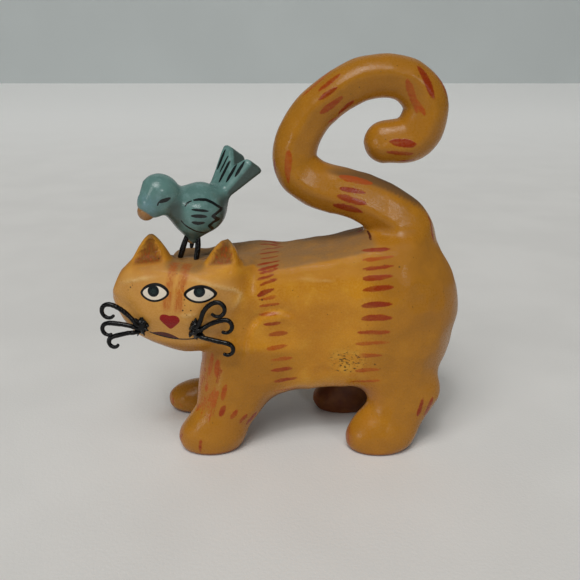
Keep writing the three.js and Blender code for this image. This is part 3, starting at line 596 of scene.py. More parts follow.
EYE = [
    ([(16.1, 5.4, 4.9), (15.1, 5.7, 5.3), (14.0, 6.0, 5.6), (12.7, 6.2, 6.1)], 0.72, 1.0),
    ([(16.6, 5.0, 3.8), (16.3, 5.3, 4.9)], 0.24, 0.5),
]
# Stripes on the tail: out along it and across it, from tip to root, and half width.
TAIL_STRIPES = [((22.2, -6.4), (15.0, -5.0), 0.62), ((20.7, -3.6), (14.3, -3.0), 0.42),
                ((19.6, -1.7), (11.2, -0.8), 0.65), ((19.2, 2.1), (12.4, 2.2), 0.7),
                ((21.2, 4.6), (15.0, 4.3), 0.62)]


def bird_lines():
    """The bird's painted lines in the drawing, on both its sides."""
    rows = []
    for points, width, taper in WING + EYE:
        for flip in ((1, 1, 1), (1, -1, 1)):
            line = BIRD_AT + (np.array(points) * flip) @ BIRD_AXES.T
            rows.append((settle(bird, line, 5, 2.0), width, 1.0, taper, 0.0))
    for start, end, width in TAIL_STRIPES:
        t, b = np.linspace(start, end, 5).T
        off = -2.0 - 0.27 * b
        points = np.stack([-0.588 * t + 0.809 * off, b, 0.809 * t + 0.588 * off], 1)
        rows.append((BIRD_AT + points @ BIRD_AXES.T, width, 1.0, 0.9, 0.0))
    return rows


# Meshes.

def deselect():
    for o in bpy.context.view_layer.objects:
        o.select_set(False)
    bpy.context.view_layer.objects.active = None


def take(piece):
    deselect()
    piece.select_set(True)
    bpy.context.view_layer.objects.active = piece


def read_points(piece):
    co = np.zeros(len(piece.data.vertices) * 3, np.float32)
    piece.data.vertices.foreach_get("co", co)
    return co.reshape(-1, 3).astype(float) / MM - PLACE


def write_points(piece, p):
    piece.data.vertices.foreach_set("co", ((p + PLACE) * MM).astype(np.float32).ravel())
    piece.data.update()


def write_number(piece, name, values):
    kind = "FLOAT_VECTOR" if values.ndim == 2 else "FLOAT"
    attribute = piece.data.attributes.new(name, kind, "POINT")
    attribute.data.foreach_set("vector" if values.ndim == 2 else "value",
                               values.astype(np.float32).ravel())


def scene_point(p):
    return Vector((np.array(p) + PLACE) * MM)


def ball(p, radius):
    """A ball that plugs a hole or starts a lump, at a place in the drawing."""
    bpy.ops.mesh.primitive_ico_sphere_add(subdivisions=3, radius=radius * MM,
                                          location=scene_point(p))
    return bpy.context.object


def join_into(piece, others):
    take(piece)
    for o in others:
        o.select_set(True)
    bpy.ops.object.join()


def remesh(piece, voxel):
    take(piece)
    modifier = piece.modifiers.new("surface", "REMESH")
    modifier.mode = "VOXEL"
    modifier.voxel_size = voxel * MM
    bpy.ops.object.modifier_apply(modifier=modifier.name)


def finish_piece(piece, material, slot, *nodes):
    take(piece)
    bpy.ops.object.transform_apply(location=True, rotation=True, scale=True)
    bpy.ops.object.shade_smooth()
    piece.data.materials.clear()
    piece.data.materials.append(material)
    if nodes:
        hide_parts(*nodes)
    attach(piece, "root")


def carved_piece(node, name, shape, voxel, plugs):
    """The carved surface of a solid: its own mesh, its holes plugged, remeshed fine."""
    deselect()
    source = frame["nodes"][node]
    piece = bpy.data.objects.new(name, source.data.copy())
    bpy.context.collection.objects.link(piece)
    take(piece)
    bpy.ops.object.mode_set(mode="EDIT")
    bpy.ops.mesh.select_all(action="SELECT")
    bpy.ops.mesh.remove_doubles(threshold=0.00001)
    bpy.ops.mesh.normals_make_consistent(inside=False)
    bpy.ops.object.mode_set(mode="OBJECT")
    join_into(piece, [ball(p, r) for p, r in plugs])
    piece.name = name
    remesh(piece, voxel)
    write_points(piece, settle(shape, read_points(piece)))
    return piece


def rounded_tube(name, path, radius, swell=0.0, seed=0):
    """A wire with round ends along a path given in the drawing's millimetres.

    swell thickens its middle; the coat on it is a little uneven.
    """
    path = np.array(path)
    steps = np.concatenate([[0], np.cumsum(size(np.diff(path, axis=0)))])
    long = steps[-1]
    stops = [radius * (1 - math.cos(a)) for a in np.linspace(0, math.pi / 2, 6)[1:]]
    inner = np.linspace(radius, long - radius, max(int(long / 0.35), 8))
    places = np.concatenate([[0.004], stops[:-1], inner, long - np.array(stops[:-1])[::-1],
                             [long - 0.004]])
    chance = np.random.default_rng(seed)
    beads = np.interp(places, np.arange(0, long + 1.0, 0.7),
                      chance.uniform(-0.09, 0.09, len(np.arange(0, long + 1.0, 0.7))))
    curve = bpy.data.curves.new(name, "CURVE")
    curve.dimensions = "3D"
    curve.bevel_depth = radius * MM
    curve.bevel_resolution = 3
    curve.use_fill_caps = True
    spline = curve.splines.new("POLY")
    spline.points.add(len(places) - 1)
    for point, s, bead in zip(spline.points, places, beads):
        p = [np.interp(s, steps, path[:, i]) for i in range(3)]
        point.co = (*scene_point(p), 1.0)
        inside = min(s, long - s, radius)
        middle = swell * math.sin(math.pi * s / long)
        end = math.sqrt(max(1 - (1 - inside / radius) ** 2, 0.0004))
        point.radius = end * (1 + bead + middle)
    piece = bpy.data.objects.new(name, curve)
    bpy.context.collection.objects.link(piece)
    take(piece)
    bpy.ops.object.convert(target="MESH")
    piece = bpy.context.object
    bpy.ops.object.mode_set(mode="EDIT")
    bpy.ops.mesh.select_all(action="SELECT")
    bpy.ops.mesh.remove_doubles(threshold=0.000002)
    bpy.ops.mesh.normals_make_consistent(inside=False)
    bpy.ops.object.mode_set(mode="OBJECT")
    return piece


# The wires' routes.

WHISKER_WIRE, LEG_WIRE, FIT_GAP, WIRE_DEPTH, POCKET_DEPTH = 1.16, 1.5, 0.3, 2.4, 1.8
SKIN = np.array([0, 0.933, -0.36])
ACROSS_SKIN = np.array([0, 0.36, 0.933])
WHISKER_PLANE = 13.6
SPACING = WHISKER_WIRE + FIT_GAP
CHEEKS = {"left": (1, np.array([-9.7, 10.9, -5.0])), "right": (-1, np.array([8.9, 11.0, -3.6]))}
# Each whisker: bend and end of its run in u and w, the curl's radius and sweep in degrees.
WHISKERS = {
    "left": [("upper", (-16.2, 2.0), (-20.3, 2.3), 2.35, 250),
             ("middle", (-15.2, -4.1), (-20.8, -4.6), 2.1, 222),
             ("lower", (-13.3, -6.9), (-19.4, -9.6), 1.8, 235)],
    "right": [("upper", (11.0, 5.1), (15.5, 7.2), 2.45, 258),
              ("middle", (14.3, 0.2), (19.0, 1.4), 2.2, 228),
              ("lower", (15.1, -6.4), (20.8, -7.1), 2.0, 215)],
}
# Each bird's leg: where it enters the head in x and y, and its hip.
BIRD_LEGS = {"left": ((-38.0, -11.2), (-35.0, -10.9, 81.2)),
             "right": ((-32.4, -12.2), (-31.9, -9.2, 81.6))}
# The peg's low and high ends.
PEG = (np.array([-34.1, -10.1, 76.0]), np.array([-33.5, -9.6, 79.9]))


def smooth_path(knots, steps):
    """A centripetal curve through the knots, evenly stepped."""
    k = np.array(knots, float)
    k = np.vstack([2 * k[0] - k[1], k, 2 * k[-1] - k[-2]])
    out = []
    for j in range(1, len(k) - 2):
        t = np.concatenate([[0], np.cumsum(np.sqrt(size(np.diff(k[j - 1:j + 3], axis=0))))])
        for s in np.linspace(t[1], t[2], steps, endpoint=False):
            a = [((t[i + 1] - s) * k[j - 1 + i] + (s - t[i]) * k[j + i]) / (t[i + 1] - t[i])
                 for i in range(3)]
            b = [((t[i + 2] - s) * a[i] + (s - t[i]) * a[i + 1]) / (t[i + 2] - t[i])
                 for i in range(2)]
            out.append(((t[2] - s) * b[0] + (s - t[1]) * b[1]) / (t[2] - t[1]))
    out.append(k[-2])
    return np.array(out)


def whisker_path(side, row):
    turn, root = CHEEKS[side]
    _, bend, end, curl, sweep = WHISKERS[side][row]
    start = root + ACROSS_SKIN * (1 - row) * SPACING
    knots = [start - SKIN * (POCKET_DEPTH - FIT_GAP), start + SKIN * 0.4,
             start + SKIN * 2.0 - np.array([turn * 0.7, 0, 0])]
    first = np.array([start[0] - turn * 1.9, start[2] + (1 - row) * 0.7])
    bend, end = np.array(bend), np.array(end)
    for t in (0.12, 0.4, 0.7, 1.0):
        u, w = first * (1 - t) ** 2 + bend * 2 * t * (1 - t) + end * t * t
        knots.append(np.array([u, WHISKER_PLANE, w]))
    way = (end - bend) / size(end - bend)
    centre = end + turn * curl * np.array([-way[1], way[0]])
    angle = math.atan2(*(end - centre)[::-1])
    turns = math.ceil(sweep / 45)
    for i in range(1, turns + 1):
        a = angle + turn * math.radians(sweep) * i / turns
        knots.append(np.array([centre[0] + curl * math.cos(a), WHISKER_PLANE + 0.12 * i,
                               centre[1] + curl * math.sin(a)]))
    return smooth_path([from_head(k) for k in knots], 8)


def leg_ends(side):
    (x, y), hip = BIRD_LEGS[side]
    foot = np.array([[x, y, 76.0]])
    for _ in range(40):
        foot[0, 2] -= 0.7 * cat(foot)[0]
    hip = np.array(hip)
    along = (hip - foot[0]) / size(hip - foot[0])
    return foot[0] - along * WIRE_DEPTH, foot[0], hip


# Materials.

class Term:
    """A number that a material works out at each point, with the usual arithmetic."""

    def __init__(self, tree, socket):
        self.tree, self.socket = tree, socket

    def op(self, kind, *others, clamp=False):
        node = self.tree.nodes.new("ShaderNodeMath")
        node.operation = kind
        node.use_clamp = clamp
        for socket, value in zip(node.inputs, (self, *others)):
            if isinstance(value, Term):
                self.tree.links.new(value.socket, socket)
            else:
                socket.default_value = value
        return Term(self.tree, node.outputs[0])

    def __add__(self, other):
        return self.op("ADD", other)

    def __sub__(self, other):
        return self.op("SUBTRACT", other)

    def __mul__(self, other):
        return self.op("MULTIPLY", other)

    def __neg__(self):
        return self.op("MULTIPLY", -1.0)

    def least(self, other):
        return self.op("MINIMUM", other)

    def most(self, other):
        return self.op("MAXIMUM", other)

    def apart(self):
        return self.op("ABSOLUTE")

    def ramp(self, low, high):
        """0 below low, 1 above high, and smooth between them; high may be the lower one."""
        node = self.tree.nodes.new("ShaderNodeMapRange")
        node.interpolation_type = "SMOOTHSTEP"
        flip = high < low
        self.tree.links.new(self.socket, node.inputs["Value"])
        node.inputs["From Min"].default_value = min(low, high)
        node.inputs["From Max"].default_value = max(low, high)
        node.inputs["To Min"].default_value = 1.0 if flip else 0.0
        node.inputs["To Max"].default_value = 0.0 if flip else 1.0
        return Term(self.tree, node.outputs["Result"])


def hypot(a, b):
    return (a * a + b * b).op("SQRT")


class Paint:
    """A node material under construction: places, noises, mixes and the final shader."""

    def __init__(self, name, colour):
        self.material = bpy.data.materials.new(name)
        self.material.use_nodes = True
        self.material.diffuse_color = (*colour, 1.0)
        self.tree = self.material.node_tree
        self.shader = self.tree.nodes["Principled BSDF"]
        self.place = self.tree.nodes.new("ShaderNodeTexCoord").outputs["Object"]
        self.colour = None

    def attribute(self, name):
        node = self.tree.nodes.new("ShaderNodeAttribute")
        node.attribute_name = name
        return node

    def number(self, name):
        return Term(self.tree, self.attribute(name).outputs["Fac"])

    def numbers(self, name):
        node = self.tree.nodes.new("ShaderNodeSeparateXYZ")
        self.tree.links.new(self.attribute(name).outputs["Vector"], node.inputs[0])
        return [Term(self.tree, socket) for socket in node.outputs]

    def noise(self, grain_mm, detail=2.0, rough=0.5, stretch=(1, 1, 1), shift=0.0):
        """Noise whose grains are about grain_mm wide, longer along a stretched axis."""
        mapping = self.tree.nodes.new("ShaderNodeMapping")
        mapping.inputs["Location"].default_value = (shift, shift, shift)
        mapping.inputs["Scale"].default_value = [1 / (s * grain_mm * MM) for s in stretch]
        node = self.tree.nodes.new("ShaderNodeTexNoise")
        node.inputs["Scale"].default_value = 1.0
        node.inputs["Detail"].default_value = detail
        node.inputs["Roughness"].default_value = rough
        self.tree.links.new(self.place, mapping.inputs["Vector"])
        self.tree.links.new(mapping.outputs[0], node.inputs["Vector"])
        return Term(self.tree, node.outputs["Fac"])

    def specks(self, spacing_mm, share):
        """Small dots of uneven size, about one in each block of the spacing."""
        mapping = self.tree.nodes.new("ShaderNodeMapping")
        mapping.inputs["Scale"].default_value = [1 / (spacing_mm * MM)] * 3
        node = self.tree.nodes.new("ShaderNodeTexVoronoi")
        node.inputs["Scale"].default_value = 1.0
        self.tree.links.new(self.place, mapping.inputs["Vector"])
        self.tree.links.new(mapping.outputs[0], node.inputs["Vector"])
        chance = self.tree.nodes.new("ShaderNodeSeparateColor")
        self.tree.links.new(node.outputs["Color"], chance.inputs[0])
        radius = Term(self.tree, chance.outputs[0]) * share
        return (Term(self.tree, node.outputs["Distance"]) - radius).ramp(0.012, -0.012)

    def mix(self, amount, a, b):
        node = self.tree.nodes.new("ShaderNodeMix")
        node.data_type = "RGBA"
        for socket, value in ((node.inputs[0], amount), (node.inputs[6], a), (node.inputs[7], b)):
            if isinstance(value, Term):
                self.tree.links.new(value.socket, socket)
            elif isinstance(value, bpy.types.NodeSocket):
                self.tree.links.new(value, socket)
            else:
                socket.default_value = (*value, 1.0)
        return node.outputs[2]

    def coat(self, amount, colour):
        """Lay a colour over what is there."""
        self.colour = self.mix(amount, self.colour, colour)

    def bump(self, height, depth_mm):
        node = self.tree.nodes.new("ShaderNodeBump")
        node.inputs["Distance"].default_value = depth_mm * MM
        node.inputs["Strength"].default_value = 1.0
        self.tree.links.new(height.socket, node.inputs["Height"])
        self.tree.links.new(node.outputs[0], self.shader.inputs["Normal"])

    def finish(self, roughness, varnish, varnish_roughness, gloss=0.3):
        self.tree.links.new(self.colour, self.shader.inputs["Base Color"])
        self.tree.links.new(roughness.socket, self.shader.inputs["Roughness"])
        self.shader.inputs["Specular IOR Level"].default_value = gloss
        self.shader.inputs["Coat Weight"].default_value = varnish
        self.shader.inputs["Coat Roughness"].default_value = varnish_roughness
        return self.material


def face_shapes(paint, u, v, w):
    """The painted face. u, v, w are millimetres in the head's frame. Returns masks."""
    front = v.ramp(3.0, 5.0)
    soft = 0.10

    def disc(cu, cw, radius, squash=1.0):
        return hypot(u - cu, (w - cw) * squash) - radius

    def eye(left, right, top, bottom, pupil, pupil_radius):
        (x0, z0), (x1, z1) = left, right
        middle, half = (x0 + x1) / 2, (x1 - x0) / 2
        tilt = (z1 - z0) / (x1 - x0)
        level = w - (u - x0) * tilt - z0
        up = top - (z0 + z1) / 2
        down = (z0 + z1) / 2 - bottom
        above = (half * half - up * up) / (2 * up)
        below = (half * half - down * down) / (2 * down)
        over = hypot(u - middle, level + above) - (above + up)
        under = hypot(u - middle, level - below) - (below + down)
        return over.op("SMOOTH_MAX", under, 1.5), disc(*pupil, pupil_radius)

    left = eye((-9.9, 7.1), (-0.5, 8.0), 10.4, 5.0, (-5.65, 8.25), 1.95)
    right = eye((4.9, 8.3), (15.2, 8.8), 11.2, 6.0, (9.75, 9.5), 1.9)
    almond = left[0].least(right[0])
    pupil = left[1].least(right[1])
    white = almond.ramp(soft, -soft) * front
    lid = w.ramp(8.2, 9.6) * 0.12 + 0.38
    line = ((almond - 0.08).apart() - lid).ramp(soft, -soft) * front
    dark = pupil.ramp(soft, -soft) * almond.ramp(soft, -soft) * front
    iris = (pupil + 1.0).ramp(0.35, -0.35) * dark
    # the nose: a rounded triangle with a slight dip in its top edge
    off = u - 0.1
    side = off.apart() * 0.76 - (w + 5.9) * 0.65
    round_part = hypot(off, (w + 2.0) * 1.05) - 3.65
    top = w - 0.5 + (-off.apart() + 1.3).most(0.0) * 0.22
    nose = side.op("SMOOTH_MAX", round_part, 1.2).op("SMOOTH_MAX", top, 1.0)
    nose = nose.ramp(soft, -soft) * front
    # the mouth: a long shallow curve, with the lips filled in on its left part
    bow = (u - 1.2) * (u - 1.2) * 0.0235 - 9.65
    ends = (u - 2.2).apart() - 9.7
    mouth = ((w - bow).apart() - 0.27).most(ends).ramp(soft, -soft) * front
    thick = (u + 1.9) * (u + 1.9) * -0.085 + 2.1
    lips = (w - bow - thick).most(bow - w).most((u + 1.9).apart() - 4.7)
    lips = lips.ramp(soft, -soft) * front
    # two soft strokes down the forehead to the nose
    sway = paint.noise(5.0, shift=3.0) * 1.6
    one = (u - w * 0.09 + 0.6 + sway).apart() - 1.3
    two = (u - w * 0.10 - 3.4 + sway).apart() - 1.4
    brush = paint.noise(0.8, 2.0, 0.6, stretch=(1, 1, 7.0), shift=9.3).ramp(0.35, 0.6)
    strokes = one.least(two).ramp(0.8, -0.7) * w.ramp(0.3, 4.0) * w.ramp(20.0, 17.0) * front
    strokes = strokes * (brush * 0.42 + 0.28)
    dots = None
    for cu, cw, radius in ((4.6, 2.7, 0.3), (7.3, 2.9, 0.24), (6.0, 1.2, 0.18), (5.4, 1.6, 0.12),
                           (-14.0, 8.1, 0.28), (-13.2, 9.0, 0.16), (-14.9, 6.9, 0.14)):
        one = disc(cu, cw, radius)
        dots = one if dots is None else dots.least(one)
    dots = dots.ramp(0.06, -0.06) * front
    return {"white": white, "line": line, "dark": dark, "iris": iris, "nose": nose, "mouth": mouth,
            "lips": lips, "strokes": strokes, "dots": dots}


def cat_paint(colours):
    paint = Paint("ochre_paint", colours.ochre)
    u, v, w = paint.numbers("head_place")
    edge, tone = paint.number("stroke_edge"), paint.number("stroke_tone")
    ear_mask, low, worn = paint.number("ear_hollow"), paint.number("blush"), paint.number("scuff")
    top_shade, shade, ridge = paint.number("top_shade"), paint.number("shade"), paint.number("ridge")
    broad = paint.noise(16.0, 2.0, 0.55)
    cloud = paint.noise(5.0, 3.0, 0.6, shift=6.0)
    streak = paint.noise(1.5, 3.0, 0.6, stretch=(3.5, 1.2, 1.0), shift=1.7)
    fine = paint.noise(0.8, 2.0, 0.6, shift=5.1)
    grain = paint.noise(0.35, 2.0, 0.6, shift=8.2)
    paint.colour = paint.mix(broad.ramp(0.34, 0.68), colours.ochre, colours.deep_ochre)
    paint.coat(cloud.ramp(0.48, 0.75) * 0.55, colours.light_ochre)
    paint.coat(streak.ramp(0.50, 0.75) * 0.4, colours.deep_ochre)
    paint.coat(fine.ramp(0.52, 0.75) * 0.35, colours.light_ochre)
    paint.coat(grain.ramp(0.50, 0.70) * 0.35, colours.deep_ochre)
    # the face is paler, and the carved ridges get a painted highlight
    paint.coat(v.ramp(6.0, 9.0) * w.ramp(-17.0, -14.0) * w.ramp(17.0, 11.0) * 0.5, colours.tan)
    paint.coat(ridge * (fine.ramp(0.3, 0.6) * 0.5 + 0.35), colours.ridge_highlight)
    # browner paint on the chest's front plane, partly painted shade
    paint.coat(paint.number("chest") * (cloud.ramp(0.3, 0.7) * 0.4 + 0.5), colours.chest)
    # painted shade under the chin
    chin = w.ramp(-10.5, -14.0) * w.ramp(-20.0, -17.5) * v.ramp(4.0, 7.0)
    paint.coat(chin * u.apart().ramp(26.0, 22.0) * 0.7, colours.ochre_shade)
    # painted shade: darker ochre low down, at the rear, on the tail and over the flank's upper edge
    paint.coat(paint.number("ochre_shade") * (cloud.ramp(0.2, 0.8) * 0.3 + 0.65), colours.ochre_shade)
    # painted shade: the faces that look up are darkened brown
    top_shade_coat = top_shade * (cloud.ramp(0.2, 0.7) * 0.35 + fine.ramp(0.3, 0.7) * 0.15 + 0.5)
    paint.coat(top_shade_coat, colours.top_face_shade)
    # painted shade on top of the tail's lower arm, under the curl
    paint.coat(paint.number("arm") * 0.8, colours.under_curl_shade)
    # painted shade between the legs and under the body
    paint.coat(shade * (cloud.ramp(0.2, 0.7) * 0.2 + 0.75), colours.dark_red_marks_and_shade)
    paint.coat(low * 0.6, colours.blush)
    hair = paint.noise(0.7, 2.0, 0.6, stretch=(1, 1, 5.0), shift=3.3)
    paint.coat(ear_mask * (hair.ramp(0.35, 0.65) * 0.25 + 0.7), colours.ear_brown)
    paint.coat(ear_mask * hair.ramp(0.50, 0.66) * 0.7, colours.orange)
    # dabbed strokes: orange to red, thinner where the brush ran dry
    ragged = edge + (fine - 0.5) * 0.45
    dry = streak.ramp(0.35, 0.65) * -0.32 + tone * 0.25 + 0.88
    cover = (ragged.ramp(0.24, -0.20) * dry).least(1.0)
    shades = paint.mix(tone.ramp(0.2, 1.0), colours.orange, colours.red_orange)
    paint.coat(cover, paint.mix(tone.ramp(1.5, 1.7), shades, colours.dark_red_marks_and_shade))
    face = face_shapes(paint, u, v, w)
    paint.coat(face["strokes"], colours.orange)
    paint.coat(face["lips"], colours.lips)
    paint.coat(face["mouth"], colours.black)
    paint.coat(face["nose"], colours.nose_red)
    paint.coat(face["white"], colours.white)
    paint.coat(face["dark"], colours.pupil)
    paint.coat(face["iris"] * 0.7, colours.iris)
    paint.coat(face["line"], colours.black)
    # dirt: specks here and there, scuffed ear tips and one scuffed patch low on the flank
    specks = paint.specks(2.4, 0.085).most(paint.specks(8.0, 0.05))
    paint.coat(specks * 0.75, colours.dirt)
    paint.coat(face["dots"] * 0.9, colours.dirt)
    tip = w.ramp(23.0, 26.0) * u.apart().ramp(27.0, 25.0)
    paint.coat(tip * cloud.ramp(0.3, 0.6) * 0.7, colours.worn_tip)
    scratch = paint.noise(0.9, 3.0, 0.75, stretch=(1.8, 1, 0.8), shift=4.4)
    paint.coat(worn.ramp(0.0, 0.5) * cloud.ramp(0.40, 0.55) * 0.6, colours.light_ochre)
    paint.coat((scratch + worn * 0.12).ramp(0.62, 0.68) * worn.ramp(0.0, 0.2) * 0.9, colours.dirt)
    paint.bump(cloud * 0.9 + streak * 0.35 + fine * 0.4 + grain * 0.22 + cover * 0.35, 0.13)
    dull = ear_mask.most(top_shade * 0.8).most(shade * 0.5).most(paint.number("matt") * 0.75)
    dull = dull.most(paint.number("arm") * 0.8).most(w.ramp(10.5, 12.5) * v.ramp(4.0, 7.0) * 0.45)
    roughness = broad.ramp(0.3, 0.7) * 0.08 + fine.ramp(0.3, 0.7) * 0.14 + 0.17
    return paint.finish((roughness + dull * 0.6).least(0.9), 0.06, 0.08, 0.27)


def bird_paint(colours):
    paint = Paint("teal_paint", colours.teal)
    a, b, c = paint.numbers("bird_place")
    marks = paint.number("mark_edge")
    broad = paint.noise(7.0, 2.0, 0.5)
    fine = paint.noise(0.7, 2.0, 0.6, shift=2.0)
    t = a * -0.588 + c * 0.809
    n = a * 0.809 + c * 0.588 + b * 0.27 + 0.6
    paint.colour = paint.mix(broad.ramp(0.35, 0.65), colours.teal, colours.deep_teal)
    cloud = paint.noise(2.2, 3.0, 0.6, shift=3.0)
    paint.coat(cloud.ramp(0.48, 0.70) * 0.6, colours.light_teal)
    paint.coat(fine.ramp(0.50, 0.75) * 0.35, colours.deep_teal)
    # painted reflection: a bluish sheen on the front of the head
    paint.coat(a.ramp(14.0, 18.0) * c.ramp(9.0, 5.0) * cloud.ramp(0.3, 0.6) * 0.6,
               colours.head_front_reflection)
    # painted shade: darker grey teal on the throat, belly, rear and under the tail
    throat = a.ramp(6.8, 9.8) * a.ramp(14.5, 11.5) * c.ramp(6.5, 2.5)
    rear = a.ramp(-2.5, -5.5) * c.ramp(6.0, 2.5)
    belly = c.ramp(-5.0, -8.0) * 0.9
    sides = n.ramp(-2.3, -3.2) * t.ramp(7.0, 10.0)
    paint.coat(throat.most(rear).most(belly).most(sides) * 0.85, colours.underside_shade_teal)
    # painted highlight along the edge of the tail
    edge = (n + 1.9).apart().ramp(0.55, 0.1) * t.ramp(9.0, 11.0) * b.ramp(2.5, 3.5)
    paint.coat(edge * 0.4, colours.tail_edge_highlight)
    beak = (a * 0.62 - c * 0.78 + (fine - 0.5) * 0.8).ramp(10.9, 11.6)
    paint.coat(beak, paint.mix(broad.ramp(0.3, 0.7), colours.beak, colours.beak_tip))
    paint.coat((marks + (fine - 0.5) * 0.16).ramp(0.09, -0.07) * 0.97, colours.black)
    paint.bump(fine * 0.5 + cloud * 0.4 + broad * 0.5, 0.08)
    return paint.finish(broad.ramp(0.3, 0.7) * 0.06 + 0.22, 0.15, 0.1, 0.36)


def wire_paint(colours):
    paint = Paint("black_wire", colours.black)
    fine = paint.noise(0.8, 2.0, 0.6)
    paint.colour = paint.mix(fine.ramp(0.5, 0.8), colours.black, colours.worn_black)
    paint.bump(fine, 0.14)
    return paint.finish(fine.ramp(0.3, 0.7) * 0.08 + 0.14, 0.1, 0.1, 0.2)


def cloth_floor(colours):
    paint = Paint("pale_floor", colours.floor)
    fine = paint.noise(1.2, 3.0, 0.6)
    broad = paint.noise(60.0, 2.0, 0.5)
    tint = [c * 0.95 for c in colours.floor]
    paint.colour = paint.mix(broad.ramp(0.3, 0.7), colours.floor, tint)
    along = paint.tree.nodes.new("ShaderNodeSeparateXYZ")
    paint.tree.links.new(paint.place, along.inputs[0])
    # painted light: the floor grows lighter toward the wall
    paint.coat(Term(paint.tree, along.outputs["Y"]).ramp(0.1, 1.2), colours.far_floor_light)
    paint.bump(fine, 0.1)
    return paint.finish(fine * 0.1 + 0.8, 0.0, 0.5)


def backdrop_paint(colours):
    paint = Paint("grey_backdrop", colours.backdrop)
    broad = paint.noise(300.0, 2.0, 0.5)
    tint = [c * 0.96 for c in colours.backdrop]
    paint.colour = paint.mix(broad.ramp(0.3, 0.7), colours.backdrop, tint)
    return paint.finish(broad * 0.1 + 0.8, 0.0, 0.5)


# Settings that a user may change.

def colour_property(name, description, value):
    return FloatVectorProperty(name=name, description=description, default=value, size=3,
                               min=0.0, max=1.0, subtype="COLOR")


class CarvedCatColours(bpy.types.PropertyGroup):
    ochre: colour_property("Ochre", "Main coat of paint on the cat", (0.57, 0.245, 0.016))
    light_ochre: colour_property("Light ochre", "Paler patches of the coat", (0.64, 0.32, 0.035))
    deep_ochre: colour_property("Deep ochre", "Darker patches of the coat", (0.47, 0.185, 0.012))
    tan: colour_property("Tan", "The paler face", (0.62, 0.33, 0.1))
    # Painted highlight along the carved ridges.
    ridge_highlight: colour_property("Pale", "Rubbed ridges", (0.68, 0.43, 0.16))
    # Painted shade: the faces that look up are darkened brown.
    top_face_shade: colour_property("Brown wash", "Grime on the upper faces", (0.26, 0.14, 0.05))
    # Painted shade between the legs and under the body; also the colour of the dark knife marks.
    dark_red_marks_and_shade: colour_property("Red shade", "Dark finish between the legs", (0.08, 0.012, 0.002))
    blush: colour_property("Blush", "Red-brown rubbed into edges and feet", (0.38, 0.09, 0.012))
    ear_brown: colour_property("Ear brown", "Inside of the ears", (0.12, 0.034, 0.005))
    orange: colour_property("Orange", "Pale dabbed strokes", (0.39, 0.07, 0.003))
    red_orange: colour_property("Red orange", "Strong dabbed strokes", (0.26, 0.027, 0.002))
    white: colour_property("White", "Whites of the eyes", (0.76, 0.67, 0.55))
    pupil: colour_property("Pupil", "Pupils", (0.004, 0.008, 0.010))
    nose_red: colour_property("Nose red", "The nose", (0.27, 0.002, 0.001))
    lips: colour_property("Lips", "Fill of the lips", (0.085, 0.016, 0.01))
    black: colour_property("Black", "Lines and wires", (0.002, 0.002, 0.0025))
    worn_black: colour_property("Worn black", "Thin places in the black", (0.01, 0.0095, 0.009))
    dirt: colour_property("Dirt", "Specks and scuffs", (0.022, 0.018, 0.004))
    worn_tip: colour_property("Worn tip", "Scuffed tips of the ears", (0.20, 0.13, 0.05))
    teal: colour_property("Teal", "Main coat on the bird", (0.125, 0.245, 0.225))
    deep_teal: colour_property("Deep teal", "Darker patches on the bird", (0.1, 0.2, 0.185))
    # Painted reflection on the front of the bird's head.
    head_front_reflection: colour_property("Blue teal", "Front of the bird's head", (0.135, 0.245, 0.28))
    # Painted highlight along the edge of the bird's tail.
    tail_edge_highlight: colour_property("Pale teal", "Rubbed edge of its tail", (0.25, 0.38, 0.36))
    # Painted shade on the bird's throat, belly, rear and tail underside.
    underside_shade_teal: colour_property("Grey teal", "Its throat, belly and rear", (0.046, 0.066, 0.058))
    beak: colour_property("Beak", "The bird's beak", (0.34, 0.2, 0.085))
    beak_tip: colour_property("Beak tip", "Darker patches of the beak", (0.3, 0.14, 0.042))
    # Browner paint on the chest's front plane, partly painted shade.
    chest: colour_property("Chest", "Browner paint on the chest", (0.44, 0.16, 0.055))
    # Painted shade on top of the tail's lower arm, under the curl.
    under_curl_shade: colour_property("Dark wash", "Grime on top of the tail's lower arm",
                               (0.12, 0.058, 0.018))
    # Painted shade: darker ochre low down, at the rear, on the tail, under the chin and over the
    # flank's upper edge.
    ochre_shade: colour_property("Dusk", "Darker ochre low down, at the rear and on the tail",
                          (0.35, 0.142, 0.011))
    iris: colour_property("Iris", "Slightly lighter middle of the pupils", (0.02, 0.035, 0.034))
    light_teal: colour_property("Light teal", "Paler patches on the bird", (0.18, 0.31, 0.3))
    backdrop: colour_property("Backdrop", "The wall behind", (0.56, 0.597, 0.597))
    # Painted light: the floor lighter toward the wall.
    far_floor_light: colour_property("Far floor", "The floor toward the wall", (0.97, 0.97, 0.96))
    floor: colour_property("Floor", "The pale floor", (0.80, 0.79, 0.77))


class CarvedCatSizes(bpy.types.PropertyGroup):
    cat_mesh: FloatProperty(name="Cat mesh", description="Mesh size on the cat, in millimetres",
                            default=0.72, min=0.4, max=3.0)
    bird_mesh: FloatProperty(name="Bird mesh", description="Mesh size on the bird, in millimetres",
                             default=0.22, min=0.15, max=2.0)
    knife_marks: FloatProperty(name="Knife marks", description="Depth of the carving's unevenness,"
                               " in millimetres", default=0.22, min=0.0, max=1.0)
    facets: FloatProperty(name="Facets", description="How far the knife's facets flatten the"
                          " rounded wood, per millimetre", default=0.011, min=0.0, max=0.05)
    glue: FloatProperty(name="Glue", description="Half width of the glue at the whiskers' roots,"
                        " in millimetres", default=1.75, min=0.5, max=3.0)


